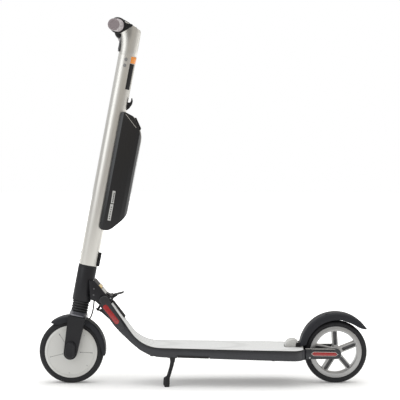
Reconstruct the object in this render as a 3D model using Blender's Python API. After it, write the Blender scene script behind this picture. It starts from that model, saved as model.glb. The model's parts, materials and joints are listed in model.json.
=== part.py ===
"""Electric kick scooter, as an assembly of separate named parts.

Sizes below are in millimetres and become metres when a mesh is made. The scooter faces -X,
+Z is up and its left side is -Y. The origin is on the floor, at the middle of the box.
Empties stand on the joint axes, and each moving part hangs on the empty of its joint.
"""

import math

import bmesh
import bpy
from mathutils import Matrix, Vector

MM = 0.001
GAP = 0.3  # clearance kept between neighbouring parts

# Wheels
FRONT_AXLE = (-409.6, 0.0, 99.5)
FRONT_TYRE_R = 99.5
REAR_AXLE = (409.4, 0.0, 97.0)
REAR_TYRE_R = 97.0
TYRE_HALF_WIDTH = 22.0
REAR_HALF_WIDTH = 17.0
HUB_COVER_R = 81.0
RIM_R = 80.0
RIM_INNER_R = 65.5
SPOKES = 5

# Steering line: it runs through the front axle and leans back
STEER_LEAN = math.radians(10.9)
STEM_HALF_LENGTH = 28.0  # fore and aft
STEM_HALF_WIDTH = 24.0
STEM_BOTTOM = 268.0  # heights along the steering line, from the front axle
STEM_TOP = 930.0
HEAD_TUBE = (160.0, 266.0)
CROWN_TOP = 126.0
COLUMN_R = 15.0
SLIDER_R = 9.0
BAR_R = 11.0
HEAD_TOP = 1020.9  # height of the slanted top over the steering line, and its fall per mm back
TOP_SLOPE = 0.331
BAR_LINE = (  # distance from the middle, back, up
    (0, -37.8, 1016.7),
    (25, -37.8, 1016.7),
    (50, -37.9, 1012.5),
    (80, -37.9, 1007.6),
    (208, -40.2, 996.4),
)

# Fold joint: the hinge pin, and a frame whose t runs down the neck and n points out of its top
FOLD_PIN = (-286.0, 0.0, 267.0)
NECK_SLOPE = math.radians(55.2)
NECK_HALF_WIDTH = 42.0
KNUCKLE_R = 8.5

# Deck
DECK_FRONT_TOP = (-194.2, 118.6)  # corner between neck and deck, before rounding
DECK_REAR_TOP = (314.0, 109.2)
DECK_BEND_R = 110.0
DECK_END_X = 313.9
MAT_THICKNESS = 2.3
ARM_HALF_WIDTH = 50.0

# Rear fender
FENDER_CENTRE = (410.5, 106.7)
FENDER_R = 113.7
FENDER_PIVOT = (278.0, 0.0, 119.5)

KICKSTAND_PIVOT = (-95.0, -57.0, 80.0)

FINISHES = {  # colour, roughness, metallic
    "silver_aluminium": ((0.74, 0.73, 0.71), 0.32, 0.9),
    "black_plastic": ((0.045, 0.045, 0.05), 0.5, 0.0),
    "black_paint": ((0.03, 0.03, 0.034), 0.4, 0.0),
    "graphite_aluminium": ((0.075, 0.077, 0.085), 0.42, 0.4),
    "grey_silicone": ((0.62, 0.63, 0.64), 0.7, 0.0),
    "grip_rubber": ((0.42, 0.38, 0.38), 0.6, 0.0),
    "tyre_rubber": ((0.03, 0.03, 0.032), 0.75, 0.0),
    "pale_cover": ((0.6, 0.6, 0.59), 0.4, 0.3),
    "rim_aluminium": ((0.5, 0.5, 0.5), 0.35, 0.8),
    "red_lens": ((0.5, 0.02, 0.02), 0.2, 0.0),
    "clear_lens": ((0.85, 0.86, 0.88), 0.15, 0.0),
    "steel": ((0.5, 0.5, 0.52), 0.3, 1.0),
    "battery_wrap": ((0.05, 0.18, 0.35), 0.5, 0.0),
    "black_glass": ((0.01, 0.01, 0.012), 0.08, 0.0),
}


# ---------------------------------------------------------------- helpers


def clear_scene():
    for old in list(bpy.data.objects):
        bpy.data.objects.remove(old, do_unlink=True)


def finish_material(name):
    found = bpy.data.materials.get(name)
    if found:
        return found
    colour, roughness, metallic = FINISHES[name]
    made = bpy.data.materials.new(name)
    made.use_nodes = True
    shader = made.node_tree.nodes["Principled BSDF"]
    shader.inputs["Base Color"].default_value = (*colour, 1.0)
    shader.inputs["Roughness"].default_value = roughness
    shader.inputs["Metallic"].default_value = metallic
    return made


def empty(name, at, parent=None, rotation=(0.0, 0.0, 0.0)):
    """An empty at a place in its parent's frame."""
    made = bpy.data.objects.new(name, None)
    bpy.context.scene.collection.objects.link(made)
    made.parent = parent
    made.location = Vector(at) * MM
    made.rotation_euler = rotation
    return made


def add_object(name, shape, finish, parent=None):
    """A mesh object from a bmesh in millimetres, in its parent's frame."""
    bmesh.ops.remove_doubles(shape, verts=shape.verts[:], dist=0.0005)
    bmesh.ops.recalc_face_normals(shape, faces=shape.faces[:])
    bmesh.ops.scale(shape, vec=(MM, MM, MM), verts=shape.verts[:])
    mesh = bpy.data.meshes.new(name)
    shape.to_mesh(mesh)
    shape.free()
    mesh.shade_smooth()
    mesh.set_sharp_from_angle(angle=math.radians(35))
    mesh.materials.append(finish_material(finish))
    made = bpy.data.objects.new(name, mesh)
    bpy.context.scene.collection.objects.link(made)
    made.parent = parent
    return made


def combine(target, shape, operation):
    """Applies an exact Boolean of a bmesh, in the target's frame, to the target."""
    name = target.name
    tool = add_object(name + "_tool", shape, "steel", target.parent)
    modifier = target.modifiers.new(operation.lower(), "BOOLEAN")
    modifier.operation = operation
    modifier.solver = "EXACT"
    modifier.object = tool
    bpy.context.view_layer.update()
    ready = target.evaluated_get(bpy.context.evaluated_depsgraph_get())
    mesh = bpy.data.meshes.new_from_object(ready)
    target.modifiers.clear()
    old = target.data
    target.data = mesh
    bpy.data.meshes.remove(old)
    bpy.data.objects.remove(tool, do_unlink=True)
    mesh.name = name
    while len(mesh.materials) > 1:
        mesh.materials.pop(index=len(mesh.materials) - 1)


def cut(target, *shapes):
    for shape in shapes:
        combine(target, shape, "DIFFERENCE")


def join(target, *shapes):
    for shape in shapes:
        combine(target, shape, "UNION")


def keep_inside(target, shape):
    combine(target, shape, "INTERSECT")


def prism(points, low, high, along="Y"):
    """An outline extruded along an axis. Points are (x, z) along Y, and (x, y) along Z."""
    shape = bmesh.new()
    if along == "Y":
        ring = [shape.verts.new((p[0], low, p[1])) for p in points]
        move = Vector((0, high - low, 0))
    else:
        ring = [shape.verts.new((p[0], p[1], low)) for p in points]
        move = Vector((0, 0, high - low))
    base = shape.faces.new(ring)
    made = bmesh.ops.extrude_face_region(shape, geom=[base])
    top = [v for v in made["geom"] if isinstance(v, bmesh.types.BMVert)]
    bmesh.ops.translate(shape, vec=move, verts=top)
    return shape


def box(x, y, z):
    """A block from (low, high) pairs."""
    return prism(((x[0], z[0]), (x[1], z[0]), (x[1], z[1]), (x[0], z[1])), y[0], y[1])


def arc(centre, radius, start, end, steps):
    """Points on an arc, with angles in degrees."""
    turn = [math.radians(start + (end - start) * i / steps) for i in range(steps + 1)]
    return [(centre[0] + radius * math.cos(a), centre[1] + radius * math.sin(a)) for a in turn]


def disc(centre, radius, low, high, steps=24):
    """A cylinder along Y."""
    return prism(arc(centre, radius, 0, 360 - 360 / steps, steps - 1), low, high)


def rounded(points, steps=3):
    """A polygon whose corners (x, z, radius) become arcs."""
    made = []
    count = len(points)
    for i, (x, z, radius) in enumerate(points):
        here = Vector((x, z))
        if radius <= 0:
            made.append((x, z))
            continue
        back = (Vector(points[i - 1][:2]) - here).normalized()
        ahead = (Vector(points[(i + 1) % count][:2]) - here).normalized()
        half = back.angle(ahead) / 2
        reach = radius / math.tan(half)
        middle = here + (back + ahead).normalized() * (radius / math.sin(half))
        first = here + back * reach - middle
        last = here + ahead * reach - middle
        sweep = first.angle_signed(last)
        for k in range(steps + 1):
            turned = Matrix.Rotation(-sweep * k / steps, 2) @ first
            made.append(tuple(middle + turned))
    return made


def turned(profile, axis="Y", centre=(0, 0, 0), steps=32):
    """A profile of (radius, along) points spun round an axis. It closes itself, or on the axis."""
    shape = bmesh.new()
    if axis == "Y":
        ring = [shape.verts.new((r, a, 0)) for r, a in profile]
        direction = (0, 1, 0)
    else:
        ring = [shape.verts.new((r, 0, a)) for r, a in profile]
        direction = (0, 0, 1)
    on_axis = profile[0][0] == 0
    edges = [shape.edges.new((ring[i - 1], ring[i])) for i in range(1 if on_axis else 0, len(ring))]
    bmesh.ops.spin(
        shape, geom=ring + edges, cent=(0, 0, 0), axis=direction, angle=math.tau, steps=steps, use_merge=True
    )
    bmesh.ops.remove_doubles(shape, verts=shape.verts[:], dist=0.001)
    bmesh.ops.translate(shape, vec=centre, verts=shape.verts[:])
    return shape


def loft(rings):
    """A closed skin through rings of the same number of points, with flat ends."""
    shape = bmesh.new()
    loops = [[shape.verts.new(p) for p in ring] for ring in rings]
    count = len(loops[0])
    for low, high in zip(loops, loops[1:]):
        for i in range(count):
            k = (i + 1) % count
            shape.faces.new((low[i], low[k], high[k], high[i]))
    shape.faces.new(loops[0])
    shape.faces.new(reversed(loops[-1]))
    return shape


def oval(centre, half_x, half_y, power=2.0, steps=32):
    """A flat superellipse ring at centre, from which power 2 is an ellipse."""
    ring = []
    for i in range(steps):
        c, s = math.cos(math.tau * i / steps), math.sin(math.tau * i / steps)
        x = math.copysign(abs(c) ** (2 / power), c) * half_x
        y = math.copysign(abs(s) ** (2 / power), s) * half_y
        ring.append((centre[0] + x, centre[1] + y, centre[2]))
    return ring


def oval_tube(name, low, high, half_x, half_y, wall, finish, parent):
    made = add_object(
        name, loft([oval((0, 0, low), half_x, half_y), oval((0, 0, high), half_x, half_y)]), finish, parent
    )
    inner = [oval((0, 0, z), half_x - wall, half_y - wall) for z in (low - 5, high + 5)]
    cut(made, loft(inner))
    return made


def neck(t, n):
    """A point of the fold joint's frame as world (x, z)."""
    c, s = math.cos(NECK_SLOPE), math.sin(NECK_SLOPE)
    return (FOLD_PIN[0] + t * c + n * s, FOLD_PIN[2] - t * s + n * c)


def deck_top(x):
    """Height of the deck frame's top at x."""
    slope = (DECK_REAR_TOP[1] - DECK_FRONT_TOP[1]) / (DECK_REAR_TOP[0] - DECK_FRONT_TOP[0])
    return DECK_FRONT_TOP[1] + slope * (x - DECK_FRONT_TOP[0])


def deck_bottom(x):
    """Height of the deck frame's underside at x."""
    return 92.5 - (x + 120) * 0.0298


# ---------------------------------------------------------------- deck and neck frame


def top_line(rise, start, end):
    """The deck's upper line, raised by rise from the frame's top: neck, bend and deck."""
    slope = (DECK_REAR_TOP[1] - DECK_FRONT_TOP[1]) / (DECK_REAR_TOP[0] - DECK_FRONT_TOP[0])
    flat = math.degrees(math.atan(slope))
    turn = math.degrees(NECK_SLOPE) + flat
    radius = DECK_BEND_R - rise
    corner = Vector(DECK_FRONT_TOP)
    out = math.radians(flat)
    reach = DECK_BEND_R * math.tan(math.radians(turn / 2))
    end_of_bend = corner + Vector((math.cos(out), math.sin(out))) * reach
    middle = end_of_bend + Vector((-math.sin(out), math.cos(out))) * DECK_BEND_R
    bend = arc(middle, radius, 270 - math.degrees(NECK_SLOPE), 270 + flat, 9)
    return [neck(start, -9.5 + rise), *bend, (end, deck_top(end) + rise)]


def deck_plan(inset, front, rear):
    """The deck seen from above: half widths at places along its length, mirrored."""
    half = (
        (-345, 42), (-240, 43), (-216, 49.5), (-190, 58.5), (-160, 68), (-131, 75.5),
        (-60, 80), (40, 84.5), (150, 87.8), (250, 89), (278, 87), (294, 78), (304, 62), (DECK_END_X + 0.1, 50),
    )
    kept = [(x, w - inset) for x, w in half if front < x < rear]
    edge = [(front, half_width(half, front) - inset), *kept, (rear, half_width(half, rear) - inset)]
    return edge + [(x, -w) for x, w in reversed(edge)]


def half_width(table, x):
    for (x0, w0), (x1, w1) in zip(table, table[1:]):
        if x <= x1:
            share = max(0.0, (x - x0) / (x1 - x0))
            return w0 + (w1 - w0) * share
    return table[-1][1]


def make_deck():
    under = [neck(-1, -40), neck(75, -38.9), (-250, 156), (-222, 132.5), (-195, 115.5), (-168, 103), (-142, 96)]
    under += [(x, deck_bottom(x)) for x in (-121, DECK_END_X)]
    outline = top_line(0, -1, DECK_END_X) + list(reversed(under))
    frame = add_object("deck_frame", prism(outline, -95, 95), "graphite_aluminium")
    keep_inside(frame, prism(deck_plan(0, -345, DECK_END_X), 40, 300, "Z"))
    cheek = [(305, deck_bottom(305) + 2), (418, 84), (423, 97), (412, 111), (305, deck_top(305) - 1)]
    for side in (-1, 1):
        join(frame, prism(cheek, *sorted((33 * side, 36.7 * side))))
    cut(frame, disc(REAR_AXLE[::2], REAR_TYRE_R + 4, -32.9, 32.9, 48))
    cut(frame, disc(REAR_AXLE[::2], 5.3, -60, 60, 16))
    make_fold_ears(frame)
    bay = [(-115, deck_top(-115) - 3), (265, deck_top(265) - 3), (265, 50), (-115, 50)]
    cut(frame, prism(bay, -38, 38))
    lip = [(x, deck_bottom(x) + 2.5) for x in (-120, 271)] + [(271, 50), (-120, 50)]
    cut(frame, prism(lip, -41, 41))
    wide_lip = [(x, deck_bottom(x) + 2.5) for x in (20, 271)] + [(271, 50), (20, 50)]
    cut(frame, prism(wide_lip, -62, 62))
    notch = [(x, deck_bottom(x) + 7) for x in (-82, 18)] + [(18, 50), (-82, 50)]
    cut(frame, prism(notch, -95, -69))
    join(frame, prism([(-169, 106), (-152, 103), (-155, 86), (-165, 86.5)], -30, 30))
    cut(frame, disc((-60, 103), 9.3, 60, 95, 20))
    return frame


def make_fold_ears(frame):
    """Ears for the hinge pin, a pocket for the casting's knuckle and a slot for the latch hook."""
    for side in (-1, 1):
        ear = [neck(13, -13), neck(-0.9, -13)] + [neck(*p) for p in arc((0, 0), 8.5, 255, 20, 8)]
        join(frame, prism(ear, *sorted((22.5 * side, 31 * side))))
    cut(frame, disc(FOLD_PIN[::2], KNUCKLE_R + 1, -22.2, 22.2))
    cut(frame, disc(FOLD_PIN[::2], 4.3, -60, 60, 16))
    slot = [neck(-12, -70), neck(80, -70), neck(80, -28), neck(-12, -28)]
    cut(frame, prism(slot, -13, 13))
    join(frame, disc(neck(62, -34), 3, -14, 14, 16))


def make_deck_parts():
    mat_low = top_line(GAP, 15, 308)
    mat_high = top_line(MAT_THICKNESS, 15, 308)
    mat = add_object("deck_mat", prism(mat_low + list(reversed(mat_high)), -95, 95), "grey_silicone")
    keep_inside(mat, prism(deck_plan(2.0, -345, 306), 40, 300, "Z"))
    cut(mat, box((250, 330), (-27, 27), (100, 130)))

    plate = [(x, deck_bottom(x) + 2.2) for x in (-119.7, 270.7)]
    plate += [(x, deck_bottom(x)) for x in (270.7, -119.7)]
    cover = add_object("underside_cover", prism(plate, -75, 75), "black_plastic")
    plan = [(-119.7, 40.7), (20.3, 40.7), (20.3, 61.7), (270.7, 61.7)]
    keep_inside(cover, prism(plan + [(x, -y) for x, y in reversed(plan)], 60, 110, "Z"))
    for x in (158, 168, 178, 188):
        top = deck_bottom(x) + 1
        join(cover, prism([(x, top), (x + 5, top), (x + 4, 78.5), (x + 1, 78.5)], -50, 50))
    for x, low in ((203, 74.5), (238, 75)):
        top = deck_bottom(x) + 1
        join(cover, prism([(x, top), (x + 22, top), (x + 16, low), (x + 6, low)], -50, 50))

    cells = [(x, deck_bottom(x) + 2.8) for x in (-110, 120)] + [(x, deck_top(x) - 3.5) for x in (120, -110)]
    add_object("main_battery", prism(cells, -35, 35), "battery_wrap")
    board = [(x, deck_bottom(x) + 2.8) for x in (135, 250)] + [(x, deck_top(x) - 4) for x in (250, 135)]
    add_object("motor_controller", prism(board, -33, 33), "steel")

    port = turned([(9, 62), (9, 77.5), (5, 77.5), (5, 66), (0, 66), (0, 62)], "Y", (-60, 0, 103), 20)
    add_object("charge_port", port, "black_plastic")


def make_side_covers():
    outline = [neck(*p) for p in arc((-3.5, -19.6), 16.6, 60, 230, 9)]
    outline += [neck(*p) for p in ((40, -37), (88, -34), (100, -26), (98, -14), (60, -10.5))]
    pill_ends = ((13.0, -27.4), (69.0, -24.4))
    pill = [neck(*p) for p in arc(pill_ends[0], 7.5, 93, 267, 6) + arc(pill_ends[1], 7.5, -87, 87, 6)]
    for side, word in ((-1, "left"), (1, "right")):
        near, far = sorted((42.9 * side + (1.2 * side), 45.5 * side))
        add_object("neck_cover_" + word, prism(outline, near, far), "black_plastic")
        near, far = sorted((45.8 * side, 47.3 * side))
        add_object("neck_reflector_" + word, prism(pill, near, far), "red_lens")


def make_hinge_pin():
    profile = [(0, -37), (7, -37), (7, -31.3), (4, -31.3), (4, 31.3), (7, 31.3), (7, 37), (0, 37)]
    add_object("fold_hinge_pin", turned(profile, "Y", FOLD_PIN, 20), "steel")


def make_rear_arms():
    outline = [(DECK_END_X + 0.4, 80.5), (400, 81)]
    outline += arc((406, 97), 16, -80, 80, 8) + [(400, 113), (DECK_END_X + 0.4, 112)]
    lens = [(330, 97.5), (337, 91.8), (404, 90.6), (412, 95.6), (404, 101.8), (337, 103.2)]
    for side, word in ((-1, "left"), (1, "right")):
        arm = add_object("rear_arm_" + word, prism(outline, *sorted((37 * side, 50 * side))), "graphite_aluminium")
        cut(arm, disc(REAR_AXLE[::2], 9, *sorted((30 * side, 47.5 * side)), 20))
        add_object("rear_reflector_" + word, prism(lens, *sorted((50.3 * side, 51.6 * side))), "red_lens")
    profile = [(0, -46), (8.5, -46), (8.5, -37.2), (5, -37.2), (5, 37.2), (8.5, 37.2), (8.5, 46), (0, 46)]
    add_object("rear_axle", turned(profile, "Y", REAR_AXLE, 20), "steel")


def make_fender_bracket():
    """Pale arch over the fender's hinge, with the hinge pin across it."""
    centre = (276, 112)
    outline = arc(centre, 24, 178, 48, 10) + arc(centre, 20.5, 48, 178, 10)
    bracket = add_object("fender_hinge_cover", prism(outline, -25, 25), "grey_silicone")
    cheek = arc(centre, 21.5, 178, 60, 6) + [(284, 121), (284, 112.4)]
    for side in (-1, 1):
        join(bracket, prism(cheek, *sorted((20 * side, 25 * side))))
    join(bracket, disc(FENDER_PIVOT[::2], 2.5, -21, 21, 16))


def make_kickstand_bracket():
    x, y, z = KICKSTAND_PIVOT
    top = [(px, deck_bottom(px) - GAP) for px in (-110, -81)]
    plate = top + [(-81, 88), (-110, 88.8)]
    bracket = add_object("kickstand_bracket", prism(plate, -72, -42), "black_plastic")
    ear = arc((x, z), 7.5, 180, 360, 8) + [(x + 9, 90), (x - 9, 90)]
    for low, high in ((-70, -65), (-49, -44)):
        join(bracket, prism(ear, low, high))
    join(bracket, disc((x, z), 3, -66, -48, 16))


# ---------------------------------------------------------------- moving parts of the deck


def make_charge_cap():
    hinge = empty("charge_cap_axis", (-60, 83.5, 114.5))
    cap = turned([(0, -2.2), (10.5, -2.2), (10.5, 0.2), (0, 0.2)], "Y", (0, 0, -11.5), 20)
    made = add_object("charge_port_cap", cap, "black_plastic", hinge)
    join(made, box((-4, 4), (-2.2, 0.2), (-4, 1)))


def make_rear_wheel():
    axis = empty("rear_wheel_axis", REAR_AXLE)
    tyre = [(80.3, -15), (80.3, 15), (84, 17), (90, 16.5), (94.5, 13.5), (97, 8)]
    tyre += [(r, -y) for r, y in reversed(tyre[2:])]
    add_object("rear_tyre", turned(tyre, steps=44), "tyre_rubber", axis)
    half = REAR_HALF_WIDTH
    rim = [(RIM_INNER_R, -half), (RIM_INNER_R, half), (RIM_R, half), (RIM_R, 15), (RIM_R, -15), (RIM_R, -half)]
    wheel = add_object("rear_rim", turned(rim, steps=40), "rim_aluminium", axis)
    hub = add_object("hub_tool", turned([(8, -18), (17.5, -18), (17.5, 18), (8, 18)], steps=24), "steel", axis)
    for i in range(SPOKES):
        spoke = box((13, 68), (-12, 12), (-8.5, 8.5))
        turn = Matrix.Rotation(math.radians(94 + 360 / SPOKES * i), 3, "Y").inverted()
        bmesh.ops.transform(spoke, matrix=turn.to_4x4(), verts=spoke.verts[:])
        join(wheel, spoke)
    hub_shape = bmesh.new()
    hub_shape.from_mesh(hub.data)
    bmesh.ops.scale(hub_shape, vec=(1 / MM,) * 3, verts=hub_shape.verts[:])
    bpy.data.objects.remove(hub, do_unlink=True)
    join(wheel, hub_shape)
    cut(wheel, disc((0, 0), 8, -30, 30, 24))
    for side in (-1, 1):
        cut(wheel, disc((0, 0), 11.3, *sorted((9 * side, 25 * side)), 24))
    for side, word in ((-1, "left"), (1, "right")):
        low, high = sorted((9.4 * side, 17.5 * side))
        ring = turned([(5.3, low), (11, low), (11, high), (5.3, high)], steps=24)
        add_object("rear_bearing_" + word, ring, "steel", axis)


def make_rear_fender():
    axis = empty("rear_fender_axis", FENDER_PIVOT)
    px, pz = FENDER_PIVOT[0], FENDER_PIVOT[2]
    centre = (FENDER_CENTRE[0] - px, FENDER_CENTRE[1] - pz)
    wheel = (REAR_AXLE[0] - px, REAR_AXLE[2] - pz)
    skirt = (415.3 - px, 97.0 - pz)
    outline = arc(centre, FENDER_R, 174, 30.5, 24) + arc(skirt, 101.6, 43, 166, 20)
    fender = add_object("rear_fender", prism(outline, -30, 30), "graphite_aluminium", axis)
    hollow = arc(centre, FENDER_R - 3, 200, -10, 30)
    cut(fender, prism(hollow, -27.2, 27.2))
    barrel = disc((0, 0), 8, -19.6, 19.6)
    join(fender, prism([(0, -5), (22, -3.5), (26, 4), (24, 7), (0, 7)], -19.6, 19.6), barrel)
    cut(fender, disc((0, 0), 2.8, -30, 30, 16))

    pad = arc(wheel, REAR_TYRE_R + 5.4, 146, 124, 6) + arc(centre, FENDER_R - 3 - GAP, 126, 148, 6)
    add_object("fender_brake_pad", prism(pad, -12, 12), "black_plastic", axis)
    lamp = arc(centre, FENDER_R - 3 - GAP, 41, 33, 3) + arc(centre, 101, 33, 41, 3)
    add_object("tail_light", prism(lamp, -20, 20), "red_lens", axis)


def make_kickstand():
    axis = empty("kickstand_axis", KICKSTAND_PIVOT)
    x0, y0, z0 = KICKSTAND_PIVOT
    levels = (  # height, middle x, half x, middle y, half y
        (80, -95, 7, -57, 6), (61, -98.5, 6.2, -59.6, 4.5), (32, -107.3, 6, -63.6, 4.5),
        (27, -112.8, 9.4, -64.6, 6), (8, -113.8, 10, -67, 8), (0, -112, 7.5, -68, 8),
    )
    rings = [oval((mx - x0, my - y0, z - z0), hx, hy, 4, 16) for z, mx, hx, my, hy in levels]
    leg = add_object("kickstand_leg", loft(rings), "black_paint", axis)
    join(leg, disc((0, 0), 6.8, -7.7, 7.7))
    cut(leg, disc((0, 0), 3.3, -20, 20, 16))


def make_fold_pedal():
    """Foot pedal on the hinge pin. It releases the latch hook under the neck."""
    axis = empty("fold_pedal_axis", FOLD_PIN)
    arms = arc((0, 0), 7.5, 60, 300, 8) + [(6, -3), (21, 6.5), (19, 10.5)]
    pedal = add_object("fold_pedal", prism([(6.5, 8.4), (10, 5.5), (38.5, 13.5), (37.5, 16)], -21.9, 21.9), "black_plastic", axis)
    for side in (-1, 1):
        join(pedal, prism(arms, *sorted((18.9 * side, 21.9 * side))))
    cut(pedal, disc((0, 0), 15.5, -18.6, 18.6))
    cut(pedal, disc((0, 0), 4.3, -30, 30, 16))


def make_latch_hook():
    x0, z0 = neck(62, -34)
    axis = empty("latch_hook_axis", (x0, 0, z0))
    pin = neck(6.8, -53.4)
    path = math.degrees(math.atan2(0.76, -0.65))
    tip = arc(pin, 7.5, path + 27, path + 180, 10)
    inner = arc(pin, 4.0, path + 185, path + 56, 8)
    lever = [neck(17, -46), neck(22, -33), neck(66, -30), neck(68, -38)]
    outline = tip + inner
    hook = add_object("latch_hook", prism([(x - x0, z - z0) for x, z in outline], -5.2, 5.2), "steel", axis)
    arm = [neck(11, -56.5), neck(23, -51.0), neck(69, -40.2), neck(69, -31), neck(24, -31), neck(13.5, -48)]
    join(hook, prism([(x - x0, z - z0) for x, z in arm], -12, 12))
    cut(hook, disc((0, 0), 3.3, -30, 30, 16))


# ---------------------------------------------------------------- neck casting and bearings


def make_neck(fold_axis, steer_axis):
    low, high = HEAD_TUBE
    casting = add_object("neck_casting", loft([oval((0, 0, z), 29, 25) for z in (low, high)]), "black_paint", steer_axis)
    x0, z0 = FRONT_AXLE[0], FRONT_AXLE[2]

    def local(point):
        dx, dz = point[0] - x0, point[1] - z0
        c, s = math.cos(STEER_LEAN), math.sin(STEER_LEAN)
        return (dx * c - dz * s, dx * s + dz * c)

    pin = local(FOLD_PIN[::2])
    wedge = [(-348, 262), (-335, 259), neck(-3, -40), neck(-3, -9), neck(-4, 0), neck(-6.5, -4), (-336, 321), (-352, 321)]
    join(casting, prism([local(p) for p in wedge], -36, 36))
    join(casting, disc(pin, KNUCKLE_R, -18.2, 18.2))
    bridge = [neck(-8, 3), neck(-20, -4), neck(-20, -12), neck(-1.5, -9), neck(-1.5, -5)]
    join(casting, prism([local(p) for p in bridge], -18.2, 18.2))
    cut(casting, disc(pin, 4.3, -40, 40, 16))
    for side in (-1, 1):
        cut(casting, disc(pin, 10, *sorted((18.5 * side, 45 * side))))
    lug = [neck(-8, -30), neck(3.5, -56), neck(8, -56.5), neck(9.5, -50), neck(-1.5, -38)]
    for side in (-1, 1):
        join(casting, prism([local(p) for p in lug], *sorted((5.6 * side, 9 * side))))
    join(casting, disc(local(neck(6.8, -53.4)), 3, -7, 7, 16))
    cut(casting, turned([(0, low - 20), (20.5, low - 20), (20.5, high + 20), (0, high + 20)], "Z"))
    for name, z in (("lower_headset_bearing", low + 2), ("upper_headset_bearing", high - 16)):
        ring = turned([(15.3, z), (20.2, z), (20.2, z + 13), (15.3, z + 13)], "Z", steps=28)
        add_object(name, ring, "steel", steer_axis)


# ---------------------------------------------------------------- stem, bar and controls


def make_stem(steer):
    oval_tube("stem_tube", STEM_BOTTOM, STEM_TOP, STEM_HALF_LENGTH, STEM_HALF_WIDTH, 2.6, "silver_aluminium", steer)

    column = turned([(9.3, 145), (COLUMN_R, 145), (COLUMN_R, 330), (0, 330), (0, 300), (9.3, 300)], "Z", steps=28)
    made = add_object("steering_column", column, "steel", steer)
    plug = loft([oval((0, 0, z), 25.0, 21.0) for z in (270, 298)])
    join(made, plug)
    cut(made, turned([(0, 100), (9.3, 100), (9.3, 300), (0, 300)], "Z", steps=28))

    block = [(28.4, 273), (35, 274), (35, 316), (28.4, 317)]
    add_object("stem_cable_cover", prism(block, -9, 9), "black_plastic", steer)

    hook = [(28.4, 764), (35, 771), (41.5, 785), (41.8, 795), (38.5, 804), (36.2, 803.5), (36.4, 794), (33.5, 789), (28.4, 788.5)]
    add_object("stem_hook", prism(hook, -6, 6), "black_plastic", steer)


def make_stem_head(steer):
    """Head of the stem: a lobe round the bar, a slanted top and a pocket for its button."""
    bar_v, bar_u = BAR_LINE[0][1], BAR_LINE[0][2]
    rings = [oval((v, 0, u), hv, 24, 2.3) for u, v, hv in ((930.3, 0, 28), (975, -1.5, 28.5), (1050, -4, 30.5))]
    head = add_object("stem_head", loft(rings), "silver_aluminium", steer)
    lobe = arc((bar_v, bar_u), 18, 30, 235, 14) + [(-24, 975), (0, 985), (0, 1030)]
    join(head, prism(lobe, -24, 24))
    above = [(v, HEAD_TOP - TOP_SLOPE * v) for v in (-90, 60)] + [(60, 1100), (-90, 1100)]
    cut(head, prism(above, -40, 40))
    cut(head, disc((bar_v, bar_u), BAR_R + GAP, -40, 40))
    cut(head, box((-60, -26.3), (-14.3, 14.3), (925, 998)))
    tilt = Matrix.Rotation(math.atan(TOP_SLOPE), 4, "Y")
    middle = Vector((-8.3, 0, HEAD_TOP + TOP_SLOPE * 8.3))
    pocket = turned([(0, -5), (6.4, -5), (6.4, 9), (0, 9)], "Z", (14, 0, 0), 20)
    bmesh.ops.transform(pocket, matrix=Matrix.Translation(middle) @ tilt, verts=pocket.verts[:])
    cut(head, pocket)
    plate = [(-30, 932), (-26.6, 932), (-26.6, 997), (-33, 997), (-33.2, 984)]
    add_object("headlight", prism(plate, -14, 14), "clear_lens", steer)


def make_dashboard(steer):
    """Display and power button on the stem head's slanted top."""
    middle = (-8.3, 0, HEAD_TOP + TOP_SLOPE * 8.3)
    top = empty("dashboard_axis", middle, steer, (0, math.atan(TOP_SLOPE), 0))
    bezel = loft([oval((-14.5, 0, z), 18.5, 20, 2.6) for z in (GAP, 2.3)])
    add_object("dashboard", bezel, "black_glass", top)
    button_axis = empty("power_button_axis", (14, 0, 0), top)
    button = turned([(0, -1.5), (6, -1.5), (6, 1.4), (5.2, 2), (0, 2)], "Z", steps=20)
    add_object("power_button", button, "silver_aluminium", button_axis)


def bar_point(y):
    """Middle of the handlebar at a distance y from the centre plane, in the steering frame."""
    reach = abs(y)
    for (y0, v0, u0), (y1, v1, u1) in zip(BAR_LINE, BAR_LINE[1:]):
        if reach <= y1 or y1 == BAR_LINE[-1][0]:
            share = (reach - y0) / (y1 - y0)
            return (v0 + (v1 - v0) * share, y, u0 + (u1 - u0) * share)


def make_handlebar(steer):
    reaches = [place[0] for place in BAR_LINE]
    corners = [math.tau * i / 16 for i in range(16)]
    rings = []
    for y in [-reach for reach in reversed(reaches[1:])] + reaches:
        v, _, u = bar_point(y)
        rings.append([(v + BAR_R * math.cos(a), y, u + BAR_R * math.sin(a)) for a in corners])
    add_object("handlebar", loft(rings), "silver_aluminium", steer)
    for side, word in ((-1, "left"), (1, "right")):
        make_controls(steer, side, word)


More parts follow.
